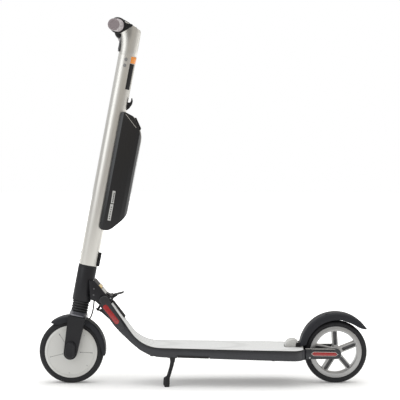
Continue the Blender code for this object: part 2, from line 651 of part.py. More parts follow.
def make_controls(steer, side, word):
    """Grip, control housing and thumb lever on one end of the bar, built along +Y and mirrored."""
    inner, outer = bar_point(95 * side), bar_point(208 * side)
    along = (Vector(outer) - Vector(inner)).normalized()
    turn = Vector((0, side, 0)).rotation_difference(along).to_euler()
    axis = empty("controls_axis_" + word, inner, steer, turn)
    bore = BAR_R + GAP

    def ring(profile, steps=28):
        points = [(r, a * side) for r, a in profile]
        return turned(points, "Y", steps=steps)

    housing = ring([(bore, -11), (21, -11), (24, -8), (24, 3), (bore, 3)])
    add_object({"left": "brake_housing", "right": "throttle_housing"}[word], housing, "black_plastic", axis)
    lever_name = {"left": "brake_lever", "right": "throttle_lever"}[word]
    lever_axis = empty(lever_name + "_axis", (0, 0, 0), axis)
    lever = add_object(lever_name, ring([(bore, 3.5), (24, 3.5), (24, 10.5), (22.5, 11.5), (bore, 11.5)]), "black_plastic", lever_axis)
    paddle = [(16, 15), (24, 8), (41, 9), (43.5, 5.5), (43, 2), (18, -16), (14, -12)]
    join(lever, prism(paddle, *sorted((3.5 * side, 11.5 * side))))
    cut(lever, disc((0, 0), bore, -30, 30, 28))
    grip = ring([(0, 115.2), (bore, 115.2), (bore, 12), (19, 12), (19.5, 14), (17.6, 90), (16.5, 115), (15, 118), (0, 118.4)], 24)
    add_object("grip_" + word, grip, "grip_rubber", axis)


def make_external_battery(steer):
    corners = [
        (15, 396, 4), (20, 389.8, 5), (47, 389.8, 14), (79, 424, 14), (89.6, 452, 20), (89.6, 684, 18),
        (84, 703, 8), (54, 747, 14), (27, 757.6, 6), (15, 752, 5),
    ]
    pack = add_object("external_battery", prism(rounded(corners, 3), -33, 33), "black_plastic", steer)
    cut(pack, loft([oval((0, 0, z), STEM_HALF_LENGTH + 0.4, STEM_HALF_WIDTH + 0.4) for z in (370, 780)]))
    axis = empty("battery_latch_axis", (58.5, 0, 743.6), steer)
    along, out = Vector((0.563, -0.826)), Vector((0.826, 0.563))
    start = Vector((-1.5, 1.2))
    points = [start + out * 0.6, start + along * 33 + out * 0.6, start + along * 35 + out * 4, start + along * 3 + out * 4]
    add_object("battery_latch", prism([tuple(p) for p in points], -10, 10), "black_plastic", axis)


# ---------------------------------------------------------------- suspension, fork and front wheel


def make_bellows(steer):
    low, high = CROWN_TOP + GAP, HEAD_TUBE[0] - GAP
    ribs = 4
    pitch = (high - low) / ribs
    outer = [(23.4, low)]
    for i in range(ribs):
        z = low + pitch * i
        outer += [(25.8, z + pitch * 0.5), (23.4, z + pitch)]
    shape = turned([(20.4, high), (20.4, low)] + outer, "Z", steps=24)
    add_object("suspension_bellows", shape, "black_plastic", steer)


def make_spring(steer):
    turns, wire, radius = 5, 1.5, 6.8
    low, high = 242.0, 299.0
    steps = turns * 9
    rings = []
    for i in range(steps + 1):
        share = i / steps
        a = math.tau * turns * share
        middle = Vector((radius * math.cos(a), radius * math.sin(a), low + 1.7 + (high - low - 3.4) * share))
        out = Vector((math.cos(a), math.sin(a), 0))
        corners = [math.tau * k / 5 for k in range(5)]
        ring = [middle + Vector((out.x * math.cos(b), out.y * math.cos(b), math.sin(b))) * wire for b in corners]
        rings.append(ring)
    add_object("suspension_spring", loft(rings), "steel", steer)


def make_fork(steer):
    axis = empty("suspension_axis", (0, 0, 0), steer)
    outline = arc((0, 0), 20.5, 175, 365, 14) + [(25.5, 104), (26, 113), (-26.5, 113), (-27, 104)]
    fork = add_object("fork", prism(outline, -49, 49), "black_paint", axis)
    shoulder = [oval((0, 0, z), hx, hy, p) for z, hx, hy, p in ((112, 26.3, 48.9, 5), (118, 26.5, 42, 3), (123, 26, 30, 2.4), (CROWN_TOP, 25, 25.5, 2))]
    join(fork, loft(shoulder))
    cut(fork, disc((-1.0, 5.4), 106.3, -33, 33, 48))
    cut(fork, box((-60, 60), (-33, 33), (-60, 40)))
    slider = turned([(0, CROWN_TOP - 6), (SLIDER_R, CROWN_TOP - 6), (SLIDER_R, 240), (0, 240)], "Z", steps=24)
    join(fork, slider)
    cut(fork, disc((0, 0), 6.3, -60, 60, 20))

    centre = (-1.0, 5.4)
    skirt = arc(centre, 92, 4, 136, 22)
    fender = add_object("front_fender", prism(arc(centre, 106, 136, 3, 24) + skirt, -29, 29), "graphite_aluminium", axis)
    cut(fender, prism(arc(centre, 103.5, 150, -12, 26) + [(0, -60)], -26.6, 26.6))
    half = [(0, 54), (9, 54), (9, 49.4), (6, 49.4), (6, 32.6), (10, 32.6), (10, 25.7), (6, 25.7)]
    add_object("front_axle", turned([(r, -y) for r, y in half] + list(reversed(half)), steps=16), "steel", axis)
    add_object("motor_stator", turned([(6.3, -14), (70, -14), (70, 14), (6.3, 14)], steps=32), "steel", axis)
    return axis


def make_front_wheel(fork_axis):
    axis = empty("front_wheel_axis", (0, 0, 0), fork_axis)
    tyre = [(78.3, -18), (78.3, 18), (82, 21.5), (89, 21.5), (95, 18.5), (99.5, 11)]
    tyre += [(r, -y) for r, y in reversed(tyre[2:])]
    add_object("front_tyre", turned(tyre, steps=44), "tyre_rubber", axis)
    shell = [(6.6, 22.3), (6.6, 25), (60, 25.4), (HUB_COVER_R, 22.8), (HUB_COVER_R, 22.3), (78, 22.0), (78, -22), (74, -22), (74, 22.3)]
    add_object("motor_shell", turned(shell, steps=32), "pale_cover", axis)
    cover = [(6.6, -22.3), (6.6, -25), (60, -25.4), (HUB_COVER_R, -22.8), (HUB_COVER_R, -22.3)]
    add_object("motor_cover", turned(cover, steps=32), "pale_cover", axis)


def make_cable(steer):
    """Motor cable, from under the casting to the back of the fork crown, through a smooth curve."""
    route = [(-340, 258.4), (-340.3, 245), (-341.5, 228), (-345, 212), (-350, 203), (-354, 199.7), (-357, 199.6)]
    inverse = Matrix.Rotation(-STEER_LEAN, 3, "Y")
    points = []
    for i in range(len(route) - 1):
        p = [Vector(route[max(0, min(len(route) - 1, i + k))]) for k in (-1, 0, 1, 2)]
        for s in (0, 0.33, 0.67):
            bend = (2 * p[0] - 5 * p[1] + 4 * p[2] - p[3]) * s**2 + (3 * p[1] - p[0] - 3 * p[2] + p[3]) * s**3
            points.append(0.5 * (2 * p[1] + (p[2] - p[0]) * s + bend))
    points.append(Vector(route[-1]))
    curve = bpy.data.curves.new("motor_cable", "CURVE")
    curve.dimensions = "3D"
    curve.bevel_depth = 1.9 * MM
    curve.bevel_resolution = 2
    curve.use_fill_caps = True
    line = curve.splines.new("POLY")
    line.points.add(len(points) - 1)
    for target, q in zip(line.points, points):
        place = inverse @ (Vector((q[0], 0, q[1])) - Vector(FRONT_AXLE))
        target.co = (*(place * MM), 1.0)
    curve.materials.append(finish_material("black_plastic"))
    made = bpy.data.objects.new("motor_cable", curve)
    bpy.context.scene.collection.objects.link(made)
    made.parent = steer


def main():
    clear_scene()
    make_deck()
    make_deck_parts()
    make_side_covers()
    make_hinge_pin()
    make_rear_arms()
    make_fender_bracket()
    make_kickstand_bracket()
    make_charge_cap()
    make_rear_wheel()
    make_rear_fender()
    make_kickstand()
    make_fold_pedal()
    make_latch_hook()
    fold = empty("fold_axis", FOLD_PIN)
    offset = Vector(FRONT_AXLE) - Vector(FOLD_PIN)
    steer = empty("steering_axis", offset, fold, (0, STEER_LEAN, 0))
    make_neck(fold, steer)
    make_stem(steer)
    make_stem_head(steer)
    make_dashboard(steer)
    make_handlebar(steer)
    make_external_battery(steer)
    make_bellows(steer)
    make_spring(steer)
    fork_axis = make_fork(steer)
    make_front_wheel(fork_axis)
    make_cable(steer)


main()
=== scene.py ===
# %% [markdown]
# # An electric kick scooter
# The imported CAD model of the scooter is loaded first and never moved. Every piece made here sits on it, in the same
# frame: the scooter faces -X, +Z is up and its left side is -Y. The pieces are modelled as by hand, with a primitive
# that is shaped in edit mode and finished with modifiers. The materials are made of nodes.

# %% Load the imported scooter
import json
import math

import bmesh
import bpy
from mathutils import Matrix, Vector


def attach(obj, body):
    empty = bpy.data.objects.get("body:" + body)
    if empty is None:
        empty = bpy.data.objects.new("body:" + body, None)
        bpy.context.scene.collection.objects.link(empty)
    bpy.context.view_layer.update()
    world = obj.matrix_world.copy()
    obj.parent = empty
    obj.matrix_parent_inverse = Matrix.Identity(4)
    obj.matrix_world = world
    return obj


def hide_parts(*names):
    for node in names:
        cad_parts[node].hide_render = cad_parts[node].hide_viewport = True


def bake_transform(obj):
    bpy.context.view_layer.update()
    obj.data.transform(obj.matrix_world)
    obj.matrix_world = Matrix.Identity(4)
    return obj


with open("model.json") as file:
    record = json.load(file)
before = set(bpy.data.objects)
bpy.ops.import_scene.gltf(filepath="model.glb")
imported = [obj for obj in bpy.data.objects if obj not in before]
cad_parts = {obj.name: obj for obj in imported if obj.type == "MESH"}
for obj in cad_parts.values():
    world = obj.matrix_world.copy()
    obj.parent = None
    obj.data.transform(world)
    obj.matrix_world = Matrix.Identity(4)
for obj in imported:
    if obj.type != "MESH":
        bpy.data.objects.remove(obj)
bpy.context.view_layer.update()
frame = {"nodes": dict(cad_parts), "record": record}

MM = 0.001

# %% [markdown]
# ## Camera, floor and light
# A product view is taken from far away with a long lens, so that the wheels stay round and the deck stays level.
# The camera stands 3.6 m away at hip height and looks down by a few degrees, which shows a little of the deck's top.
# The view transform is the plain one, because the studio's white has to stay white.

# %% Camera
CAMERA_DISTANCE = 3.6
camera_data = bpy.data.cameras.new("studio_camera")
camera_data.lens = 104.9
camera_data.sensor_width = 36.0
camera = bpy.data.objects.new("studio_camera", camera_data)
camera.location = (-0.0112, -CAMERA_DISTANCE, 0.728)
camera.rotation_euler = (math.radians(87.45), 0.0, 0.0)
bpy.context.scene.collection.objects.link(camera)
bpy.context.scene.camera = camera
bpy.context.scene.view_settings.view_transform = "Standard"
bpy.context.scene.view_settings.look = "None"
print("camera looks down by", round(90 - math.degrees(camera.rotation_euler.x), 2), "degrees")

# %% [markdown]
# Nodes are added in every material and in the world, so one small function does it: it sets a node's settings,
# writes plain numbers on its sockets and links the sockets that another node feeds.

# %% One function that adds a node
def add_node(tree, kind, inputs=None, **settings):
    node = tree.nodes.new(kind)
    for key, value in settings.items():
        setattr(node, key, value)
    for key, value in (inputs or {}).items():
        if isinstance(value, bpy.types.NodeSocket):
            tree.links.new(value, node.inputs[key])
        else:
            node.inputs[key].default_value = value
    return node


def ramp_stops(node, stops):
    """Places a colour ramp's stops. Each is (position, colour)."""
    elements = node.color_ramp.elements
    while len(elements) < len(stops):
        elements.new(0.5)
    for element, (position, colour) in zip(elements, stops):
        element.position = position
        element.color = colour
    return node


def linear(code, alpha=1.0):
    """A colour written as sRGB hex, turned to the linear values that shaders read."""
    parts = [int(code[i:i + 2], 16) / 255 for i in (1, 3, 5)]
    return tuple(p / 12.92 if p <= 0.04045 else ((p + 0.055) / 1.055) ** 2.4 for p in parts) + (alpha,)


# %% [markdown]
# The studio is a white room with a tall soft light at the front left, a paler wall on the right and a dimmer gap
# where the camera stands. Metal shows that gap as the warm shade down the middle of the stem. The world is
# bright white where the camera sees it directly.

# %% World
world = bpy.data.worlds.new("white_studio")
bpy.context.scene.world = world
world.use_nodes = True
room = world.node_tree
room.nodes.clear()
direction = add_node(room, "ShaderNodeTexCoord").outputs["Generated"]
across = add_node(room, "ShaderNodeSeparateXYZ", {"Vector": direction})
side = add_node(room, "ShaderNodeMapRange", {"Value": across.outputs["X"], "From Min": -1.0, "From Max": 1.0})
walls = ramp_stops(add_node(room, "ShaderNodeValToRGB", {"Fac": side.outputs["Result"]}), (
    (0.0, (0.42, 0.42, 0.42, 1)), (0.06, (0.80, 0.81, 0.83, 1)), (0.2, (0.80, 0.81, 0.83, 1)),
    (0.42, (0.52, 0.50, 0.46, 1)), (0.68, (0.54, 0.50, 0.45, 1)), (0.9, (0.56, 0.54, 0.51, 1)),
    (1.0, (0.46, 0.45, 0.44, 1)),
))
up = add_node(room, "ShaderNodeMapRange", {"Value": across.outputs["Z"], "From Min": 0.15, "From Max": 0.9})
ceiling = add_node(
    room, "ShaderNodeMix", {"Factor": up.outputs["Result"], "A": walls.outputs["Color"], "B": (1.0, 1.0, 1.0, 1)},
    data_type="RGBA",
)
studio = add_node(room, "ShaderNodeBackground", {"Color": ceiling.outputs["Result"], "Strength": 1.0})
backdrop = add_node(room, "ShaderNodeBackground", {"Color": (1.0, 1.0, 1.0, 1), "Strength": 1.0})
seen = add_node(room, "ShaderNodeLightPath").outputs["Is Camera Ray"]
either = add_node(room, "ShaderNodeMixShader", {0: seen, 1: studio.outputs[0], 2: backdrop.outputs[0]})
add_node(room, "ShaderNodeOutputWorld", {"Surface": either.outputs[0]})

# %% Lights and floor
def soft_light(name, place, target, width, height, power, colour=(1, 1, 1)):
    data = bpy.data.lights.new(name, "AREA")
    data.shape = "RECTANGLE"
    data.size = width
    data.size_y = height
    data.energy = power
    data.color = colour
    lamp = bpy.data.objects.new(name, data)
    lamp.location = place
    lamp.rotation_euler = (Vector(target) - Vector(place)).to_track_quat("-Z", "Y").to_euler()
    bpy.context.scene.collection.objects.link(lamp)


soft_light("overhead_softbox", (0.0, 0.2, 3.4), (0, 0, 0), 4.0, 3.0, 50)
soft_light("front_left_softbox", (-2.6, -1.9, 1.7), (-0.3, 0, 0.7), 1.7, 2.4, 17, (0.96, 0.98, 1.0))
soft_light("right_softbox", (3.0, -0.6, 1.4), (0, 0, 0.4), 1.2, 2.0, 4, (1.0, 0.97, 0.93))

bpy.ops.mesh.primitive_plane_add(size=30)
floor = bpy.context.object
floor.name = "studio_floor"
paper = bpy.data.materials.new("white_paper_sweep")
paper.use_nodes = True
paper.node_tree.nodes["Principled BSDF"].inputs["Base Color"].default_value = linear("#F4F4F3")
paper.node_tree.nodes["Principled BSDF"].inputs["Roughness"].default_value = 0.9
paper.node_tree.nodes["Principled BSDF"].inputs["Specular IOR Level"].default_value = 0.1
sheet = paper.node_tree
depth = add_node(sheet, "ShaderNodeSeparateXYZ", {"Vector": add_node(sheet,
    "ShaderNodeTexCoord").outputs["Object"]})
fade = ramp_stops(add_node(sheet, "ShaderNodeValToRGB", {
    "Fac": add_node(sheet, "ShaderNodeMapRange", {"Value": depth.outputs["Y"], "From Min": -2.6,
        "From Max": -0.6}).outputs[0],
}), ((0.0, (0.40, 0.39, 0.38, 1)), (1.0, linear("#F4F4F3"))))
glow = add_node(sheet, "ShaderNodeMapRange", {"Value": depth.outputs["Y"], "From Min": 0.2, "From Max": 2.2,
    "To Min": 0.12, "To Max": 1.0})
white = sheet.nodes["Principled BSDF"]
white.inputs["Emission Color"].default_value = (1, 1, 1, 1)
sheet.links.new(fade.outputs["Color"], white.inputs["Base Color"])
sheet.links.new(glow.outputs["Result"], white.inputs["Emission Strength"])
floor.data.materials.append(paper)

# %% [markdown]
# ## The scooter's own lines
# The stem leans back by 10.9 degrees and everything on it is drawn along its own axis, from the front axle up. The
# neck has a slope of its own too. Two small functions turn those lines into places in the room.

# %% Lines of the scooter, in millimetres
FRONT_AXLE = (-409.6, 0.0, 99.5)
REAR_AXLE = (409.4, 0.0, 97.0)
LEAN = math.radians(10.9)
FOLD_PIN = (-286.0, 0.0, 267.0)
FENDER_CENTRE, FENDER_RADIUS = (410.5, 106.7), 113.7
FENDER_PIVOT = (278.0, 0.0, 119.5)
NECK_SLOPE = math.radians(55.2)
STEM = Matrix.Translation(Vector(FRONT_AXLE) * MM) @ Matrix.Rotation(LEAN, 4, "Y")
BAR_LINE = ((0, -37.8, 1016.7), (25, -37.8, 1016.7), (50, -37.9, 1012.5), (80, -37.9, 1007.6), (208, -40.2, 996.4))


def neck(t, n):
    """A point t down the neck from the hinge pin and n out of its top, as (x, z)."""
    c, s = math.cos(NECK_SLOPE), math.sin(NECK_SLOPE)
    return (FOLD_PIN[0] + t * c + n * s, FOLD_PIN[2] - t * s + n * c)


def deck_top(x):
    return 118.6 - 0.018496 * (x + 194.2)


def arc(centre, radius, start, end, steps):
    """Points on an arc, with angles in degrees."""
    turns = [math.radians(start + (end - start) * i / steps) for i in range(steps + 1)]
    return [(centre[0] + radius * math.cos(a), centre[1] + radius * math.sin(a)) for a in turns]


def oval(centre, half_x, half_y, power=2.0, steps=64):
    """A level ring of points. Power 2 is an ellipse, and more makes it squarer."""
    ring = []
    for i in range(steps):
        c, s = math.cos(math.tau * i / steps), math.sin(math.tau * i / steps)
        x = math.copysign(abs(c) ** (2 / power), c) * half_x
        y = math.copysign(abs(s) ** (2 / power), s) * half_y
        ring.append((centre[0] + x, centre[1] + y, centre[2]))
    return ring


# %% [markdown]
# ## Working by hand, in functions
# Each function below is a short habit of modelling. One traces an outline and pulls it out into a plate, one turns a
# profile as on a lathe, one pulls a ring through a row of sections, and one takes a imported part's mesh, merges it and
# breaks its edges. An operator acts on all that is selected, so everything is let go first.

# %% Taking hold of a piece
def let_go():
    if bpy.context.object and bpy.context.object.mode == "EDIT":
        bpy.ops.object.mode_set(mode="OBJECT")
    bpy.ops.object.select_all(action="DESELECT")


def hold(piece):
    let_go()
    bpy.context.view_layer.objects.active = piece
    piece.select_set(True)


def edit(piece):
    hold(piece)
    bpy.ops.object.mode_set(mode="EDIT")
    bpy.ops.mesh.select_all(action="SELECT")


def tidy_mesh(piece):
    """Merges doubles, turns the faces outwards and leaves edit mode."""
    bpy.ops.mesh.select_all(action="SELECT")
    bpy.ops.mesh.remove_doubles(threshold=0.00001)
    bpy.ops.mesh.delete_loose(use_verts=True, use_edges=True, use_faces=False)
    bpy.ops.mesh.select_all(action="SELECT")
    bpy.ops.mesh.normals_make_consistent(inside=False)
    bpy.ops.object.mode_set(mode="OBJECT")
    return piece


# %% Plates, turned pieces and pulled sections
def trace(name, corners):
    """A flat face whose corners, in mm, are placed one by one."""
    let_go()
    bpy.ops.mesh.primitive_circle_add(vertices=len(corners), radius=0.01, fill_type="NGON")
    piece = bpy.context.object
    piece.name = name
    piece.data.name = name
    for corner, place in zip(piece.data.vertices, corners):
        corner.co = Vector(place) * MM
    return piece


def plate(name, outline, near, far):
    """An outline of (x, z) points, pulled out along Y."""
    piece = trace(name, [(x, near, z) for x, z in outline])
    edit(piece)
    bpy.ops.mesh.extrude_region_move(TRANSFORM_OT_translate={"value": (0, (far - near) * MM, 0)})
    return tidy_mesh(piece)


def column(name, outline, low, high):
    """An outline of (x, y) points, pulled up along Z."""
    piece = trace(name, [(x, y, low) for x, y in outline])
    edit(piece)
    bpy.ops.mesh.extrude_region_move(TRANSFORM_OT_translate={"value": (0, 0, (high - low) * MM)})
    return tidy_mesh(piece)


def lathe(name, profile, axis="Y", steps=96):
    """A profile of (radius, along) points spun round an axis through the origin."""
    if axis == "Y":
        piece = trace(name, [(r, along, 0) for r, along in profile])
        line = (0, 1, 0)
    else:
        piece = trace(name, [(r, 0, along) for r, along in profile])
        line = (0, 0, 1)
    edit(piece)
    bpy.ops.mesh.delete(type="ONLY_FACE")
    bpy.ops.mesh.select_all(action="SELECT")
    bpy.ops.mesh.spin(steps=steps, angle=math.tau, center=(0, 0, 0), axis=line)
    return tidy_mesh(piece)


def pull(name, rings):
    """A ring pulled through a row of sections, which all have the same number of points."""
    piece = trace(name, rings[0])
    edit(piece)
    for ring in rings[1:]:
        bpy.ops.mesh.extrude_region_move()
        mesh = bmesh.from_edit_mesh(piece.data)
        moved = [v for v in mesh.verts if v.select]
        for corner, place in zip(moved, ring):
            corner.co = Vector(place) * MM
        bmesh.update_edit_mesh(piece.data)
    return tidy_mesh(piece)


# %% Finishing a shape
def apply_all(piece):
    hold(piece)
    for modifier in list(piece.modifiers):
        bpy.ops.object.modifier_apply(modifier=modifier.name)
    return piece


def soften(piece, width, rounds=3, angle=32):
    """Breaks the edges sharper than an angle with a bevel, width in mm, and shades the rest smooth."""
    hold(piece)
    if width:
        bevel = piece.modifiers.new("soft_edges", "BEVEL")
        bevel.width = width * MM
        bevel.segments = rounds
        bevel.limit_method = "ANGLE"
        bevel.angle_limit = math.radians(angle)
        bevel.harden_normals = False
        apply_all(piece)
    bpy.ops.object.shade_smooth_by_angle(angle=math.radians(angle))
    return piece


def carve(piece, tool, operation="DIFFERENCE"):
    """Cuts, joins or keeps the common part of two pieces, and takes the tool away."""
    boolean = piece.modifiers.new("carve", "BOOLEAN")
    boolean.operation = operation
    boolean.solver = "EXACT"
    boolean.object = tool
    apply_all(piece)
    bpy.data.objects.remove(tool, do_unlink=True)
    return piece


def put(piece, matrix):
    """Moves a piece's mesh into its place, so that its object stays at the origin."""
    hold(piece)
    piece.matrix_world = matrix
    bpy.ops.object.transform_apply(location=True, rotation=True, scale=True)
    return piece


def on_stem(piece):
    return put(piece, STEM)


def twin(piece, name, matrix=None):
    """A copy with a mesh of its own. With no matrix it is the mirror image across the middle plane."""
    copy = piece.copy()
    copy.data = piece.data.copy()
    copy.name = name
    copy.data.name = name
    bpy.context.scene.collection.objects.link(copy)
    if matrix is None:
        put(copy, Matrix.Scale(-1, 4, (0, 1, 0)))
        edit(copy)
        tidy_mesh(copy)
    else:
        put(copy, matrix)
    return copy


def together(name, pieces):
    """Joins several shapes into one piece."""
    hold(pieces[0])
    for other in pieces[1:]:
        other.select_set(True)
    bpy.ops.object.join()
    bpy.context.object.name = name
    bpy.context.object.data.name = name
    return bpy.context.object


def dress(node, width, rounds=2, angle=30):
    """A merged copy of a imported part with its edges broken."""
    let_go()
    source = frame["nodes"][node]
    piece = bpy.data.objects.new(node + "_finished", source.data.copy())
    bpy.context.scene.collection.objects.link(piece)
    edit(piece)
    bpy.ops.mesh.customdata_custom_splitnormals_clear()
    bpy.ops.mesh.select_all(action="SELECT")
    bpy.ops.mesh.remove_doubles(threshold=0.000002)
    bpy.ops.mesh.dissolve_limited(angle_limit=math.radians(0.6))
    bpy.ops.object.mode_set(mode="OBJECT")
    return soften(piece, width, rounds, angle)


made = []


def fit(piece, body, finish, slot, *nodes):
    """Gives a piece its material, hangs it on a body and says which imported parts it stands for."""
    piece.data.materials.clear()
    piece.data.materials.append(finish)
    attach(piece, body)
    if nodes:
        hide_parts(*nodes)
    made.append(piece.name)
    return piece

# %% [markdown]
# ## Finishes
# Each finish starts from what the real one is and how it was made. A base value is set on the shader, and a pattern of
# its real size, in metres on object coordinates, changes the colour, the roughness and the bump a little.

# %% Starting a finish
def start_finish(name, colour, roughness, metallic=0.0, coat=0.0):
    """A new material with its shader and its object coordinates."""
    finish = bpy.data.materials.new(name)
    finish.use_nodes = True
    tree = finish.node_tree
    shader = tree.nodes["Principled BSDF"]
    shader.inputs["Base Color"].default_value = linear(colour)
    shader.inputs["Roughness"].default_value = roughness
    shader.inputs["Metallic"].default_value = metallic
    shader.inputs["Coat Weight"].default_value = coat
    place = add_node(tree, "ShaderNodeTexCoord").outputs["Object"]
    return finish, tree, shader, place


def vary(tree, shader, pattern, colours, roughness, bump=0.0, distance=0.0002, sunken=False):
    """Lets a pattern between 0 and 1 drive the colour, the roughness and the bump."""
    tint = ramp_stops(add_node(tree, "ShaderNodeValToRGB", {"Fac": pattern}), (
        (0.25, linear(colours[0])), (0.75, linear(colours[1])),
    ))
    rough = add_node(tree, "ShaderNodeMapRange", {"Value": pattern, "To Min": roughness[0], "To Max": roughness[1]})
    tree.links.new(tint.outputs["Color"], shader.inputs["Base Color"])
    tree.links.new(rough.outputs["Result"], shader.inputs["Roughness"])
    if bump:
        raised = add_node(tree, "ShaderNodeBump", {"Strength": bump, "Distance": distance, "Height": pattern},
            invert=sunken)
        tree.links.new(raised.outputs["Normal"], shader.inputs["Normal"])


# %% [markdown]
# The stem is drawn aluminium, anodised to a warm satin silver. Drawing leaves fine lines along the tube, so a noise is
# stretched along the stem's lean. Lines are 0.4 mm apart, as coarse as they need to be to show at all.

# %% Anodised aluminium
anodised, tree, shader, place = start_finish("satin_anodised_aluminium", "#CFCDC8", 0.36, metallic=1.0)
along = add_node(
    tree, "ShaderNodeMapping", {"Vector": place, "Rotation": (0, LEAN, 0), "Scale": (1 / 2500, 1 / 2500, 1 / 6)},
    vector_type="TEXTURE",
)
lines = add_node(tree, "ShaderNodeTexNoise", {"Vector": along.outputs[0], "Scale": 1.0, "Detail": 3.0})
vary(tree, shader, lines.outputs["Fac"], ("#CAC8C2", "#D5D3CE"), (0.33, 0.41), 0.05, 0.00003)

# %% [markdown]
# Castings such as the neck and the fork are sprayed with a satin black powder coat, which dries to a fine orange peel
# with bumps about 1 mm across. The deck's graphite paint is the same with metal flake in it.

# %% Powder coat and graphite paint
powder, tree, shader, place = start_finish("satin_black_powder_coat", "#16161A", 0.42)
shader.inputs["Specular IOR Level"].default_value = 0.32
peel = add_node(tree, "ShaderNodeTexNoise", {"Vector": place, "Scale": 900.0, "Detail": 2.0})
vary(tree, shader, peel.outputs["Fac"], ("#141417", "#1C1C20"), (0.36, 0.48), 0.12, 0.00006)

graphite, tree, shader, place = start_finish("graphite_flake_paint", "#26272B", 0.34, metallic=0.3, coat=0.5)
shader.inputs["Specular IOR Level"].default_value = 0.32
shader.inputs["Coat Roughness"].default_value = 0.12
flake = add_node(tree, "ShaderNodeTexVoronoi", {"Vector": place, "Scale": 1400.0})
shade = add_node(tree, "ShaderNodeSeparateColor", {"Color": flake.outputs["Color"]})
vary(tree, shader, shade.outputs[0], ("#222327", "#2E2F34"), (0.3, 0.42), 0.04, 0.00003)

guard_skin, tree, shader, place = start_finish("moulded_mudguard_polypropylene", "#26272B", 0.55)
shader.inputs["Specular IOR Level"].default_value = 0.2
grain = add_node(tree, "ShaderNodeTexNoise", {"Vector": place, "Scale": 1600.0, "Detail": 3.0})
vary(tree, shader, grain.outputs["Fac"], ("#222327", "#2B2C30"), (0.5, 0.62), 0.08, 0.00005)

# The crown's paler graphite is a painted highlight: it stands in for the light the fork's shoulder catches from above.
crown_highlight_paint, tree, shader, place = start_finish("crown_painted_highlight", "#5A5A60", 0.3, metallic=0.4, coat=0.4)
flake = add_node(tree, "ShaderNodeTexVoronoi", {"Vector": place, "Scale": 1400.0})
shade = add_node(tree, "ShaderNodeSeparateColor", {"Color": flake.outputs["Color"]})
vary(tree, shader, shade.outputs[0], ("#525258", "#64646A"), (0.26, 0.36), 0.04, 0.00003)

# %% [markdown]
# Covers and housings are injection-moulded ABS. The mould is spark-eroded, so the plastic has a fine even grain about
# 0.5 mm across and a low sheen. The battery's case is the same plastic from a smoother mould.

# %% Moulded plastics
grained, tree, shader, place = start_finish("spark_grained_black_abs", "#161618", 0.5)
shader.inputs["Specular IOR Level"].default_value = 0.32
grain = add_node(tree, "ShaderNodeTexVoronoi", {"Vector": place, "Scale": 1500.0}, feature="SMOOTH_F1")
vary(tree, shader, grain.outputs["Distance"], ("#131315", "#1A1A1D"), (0.44, 0.56), 0.15, 0.00008)

cover_gloss, tree, shader, place = start_finish("satin_black_cover_abs", "#18191C", 0.3, coat=0.3)
cloud = add_node(tree, "ShaderNodeTexNoise", {"Vector": place, "Scale": 500.0, "Detail": 2.0})
vary(tree, shader, cloud.outputs["Fac"], ("#16171A", "#1D1E22"), (0.26, 0.36), 0.05, 0.00004)

battery_case, tree, shader, place = start_finish("satin_moulded_battery_abs", "#0C0C0E", 0.26, coat=0.15)
shader.inputs["Coat Roughness"].default_value = 0.15
cloud = add_node(tree, "ShaderNodeTexNoise", {"Vector": place, "Scale": 700.0, "Detail": 3.0})
vary(tree, shader, cloud.outputs["Fac"], ("#0A0A0C", "#101013"), (0.22, 0.3), 0.05, 0.00004)

# %% [markdown]
# Rubbers: the deck's mat and trim are pale grey moulded silicone with a fine square grip pattern, the grips are a soft
# brown-grey rubber, and both tyres are dense black rubber that looks dusty and grey where it is worn.

# %% Rubbers
silicone, tree, shader, place = start_finish("pale_moulded_silicone", "#CFD0CF", 0.62)
knurl = add_node(tree, "ShaderNodeTexVoronoi", {"Vector": place, "Scale": 260.0, "Randomness": 0.0},
    distance="CHEBYCHEV")
cells = add_node(tree, "ShaderNodeMapRange", {"Value": knurl.outputs["Distance"], "From Min": 0.3, "From Max": 0.5})
vary(tree, shader, cells.outputs["Result"], ("#D4D5D4", "#C6C7C6"), (0.58, 0.7), 0.3, 0.0003, sunken=True)

grip_rubber, tree, shader, place = start_finish("soft_grip_rubber", "#8A8083", 0.5)
shader.inputs["Sheen Weight"].default_value = 0.6
shader.inputs["Sheen Roughness"].default_value = 0.4
skin = add_node(tree, "ShaderNodeTexNoise", {"Vector": place, "Scale": 1100.0, "Detail": 3.0})
vary(tree, shader, skin.outputs["Fac"], ("#83797C", "#948A8D"), (0.44, 0.58), 0.15, 0.0001)

# The black rubber also serves as painted shade: the black band along the mat's edge and the dark sheet in the
# kickstand's recess.
black_rubber_and_shade, tree, shader, place = start_finish("black_rubber_and_painted_shade", "#0E0E10", 0.55)
skin = add_node(tree, "ShaderNodeTexNoise", {"Vector": place, "Scale": 800.0, "Detail": 2.0})
vary(tree, shader, skin.outputs["Fac"], ("#0C0C0E", "#141416"), (0.5, 0.62), 0.15, 0.0001)

tyre_rubber, tree, shader, place = start_finish("solid_tyre_rubber", "#1A1A1C", 0.6)
shader.inputs["Specular IOR Level"].default_value = 0.32
dust = add_node(tree, "ShaderNodeTexNoise", {"Vector": place, "Scale": 60.0, "Detail": 6.0, "Roughness": 0.7})
vary(tree, shader, dust.outputs["Fac"], ("#161618", "#242427"), (0.54, 0.7), 0.2, 0.0001)

# %% [markdown]
# The motor's covers are turned aluminium under a pale paint, and the rear rim is cast aluminium with a clear lacquer.
# Turning leaves rings round the axle and casting leaves a faint mottle.

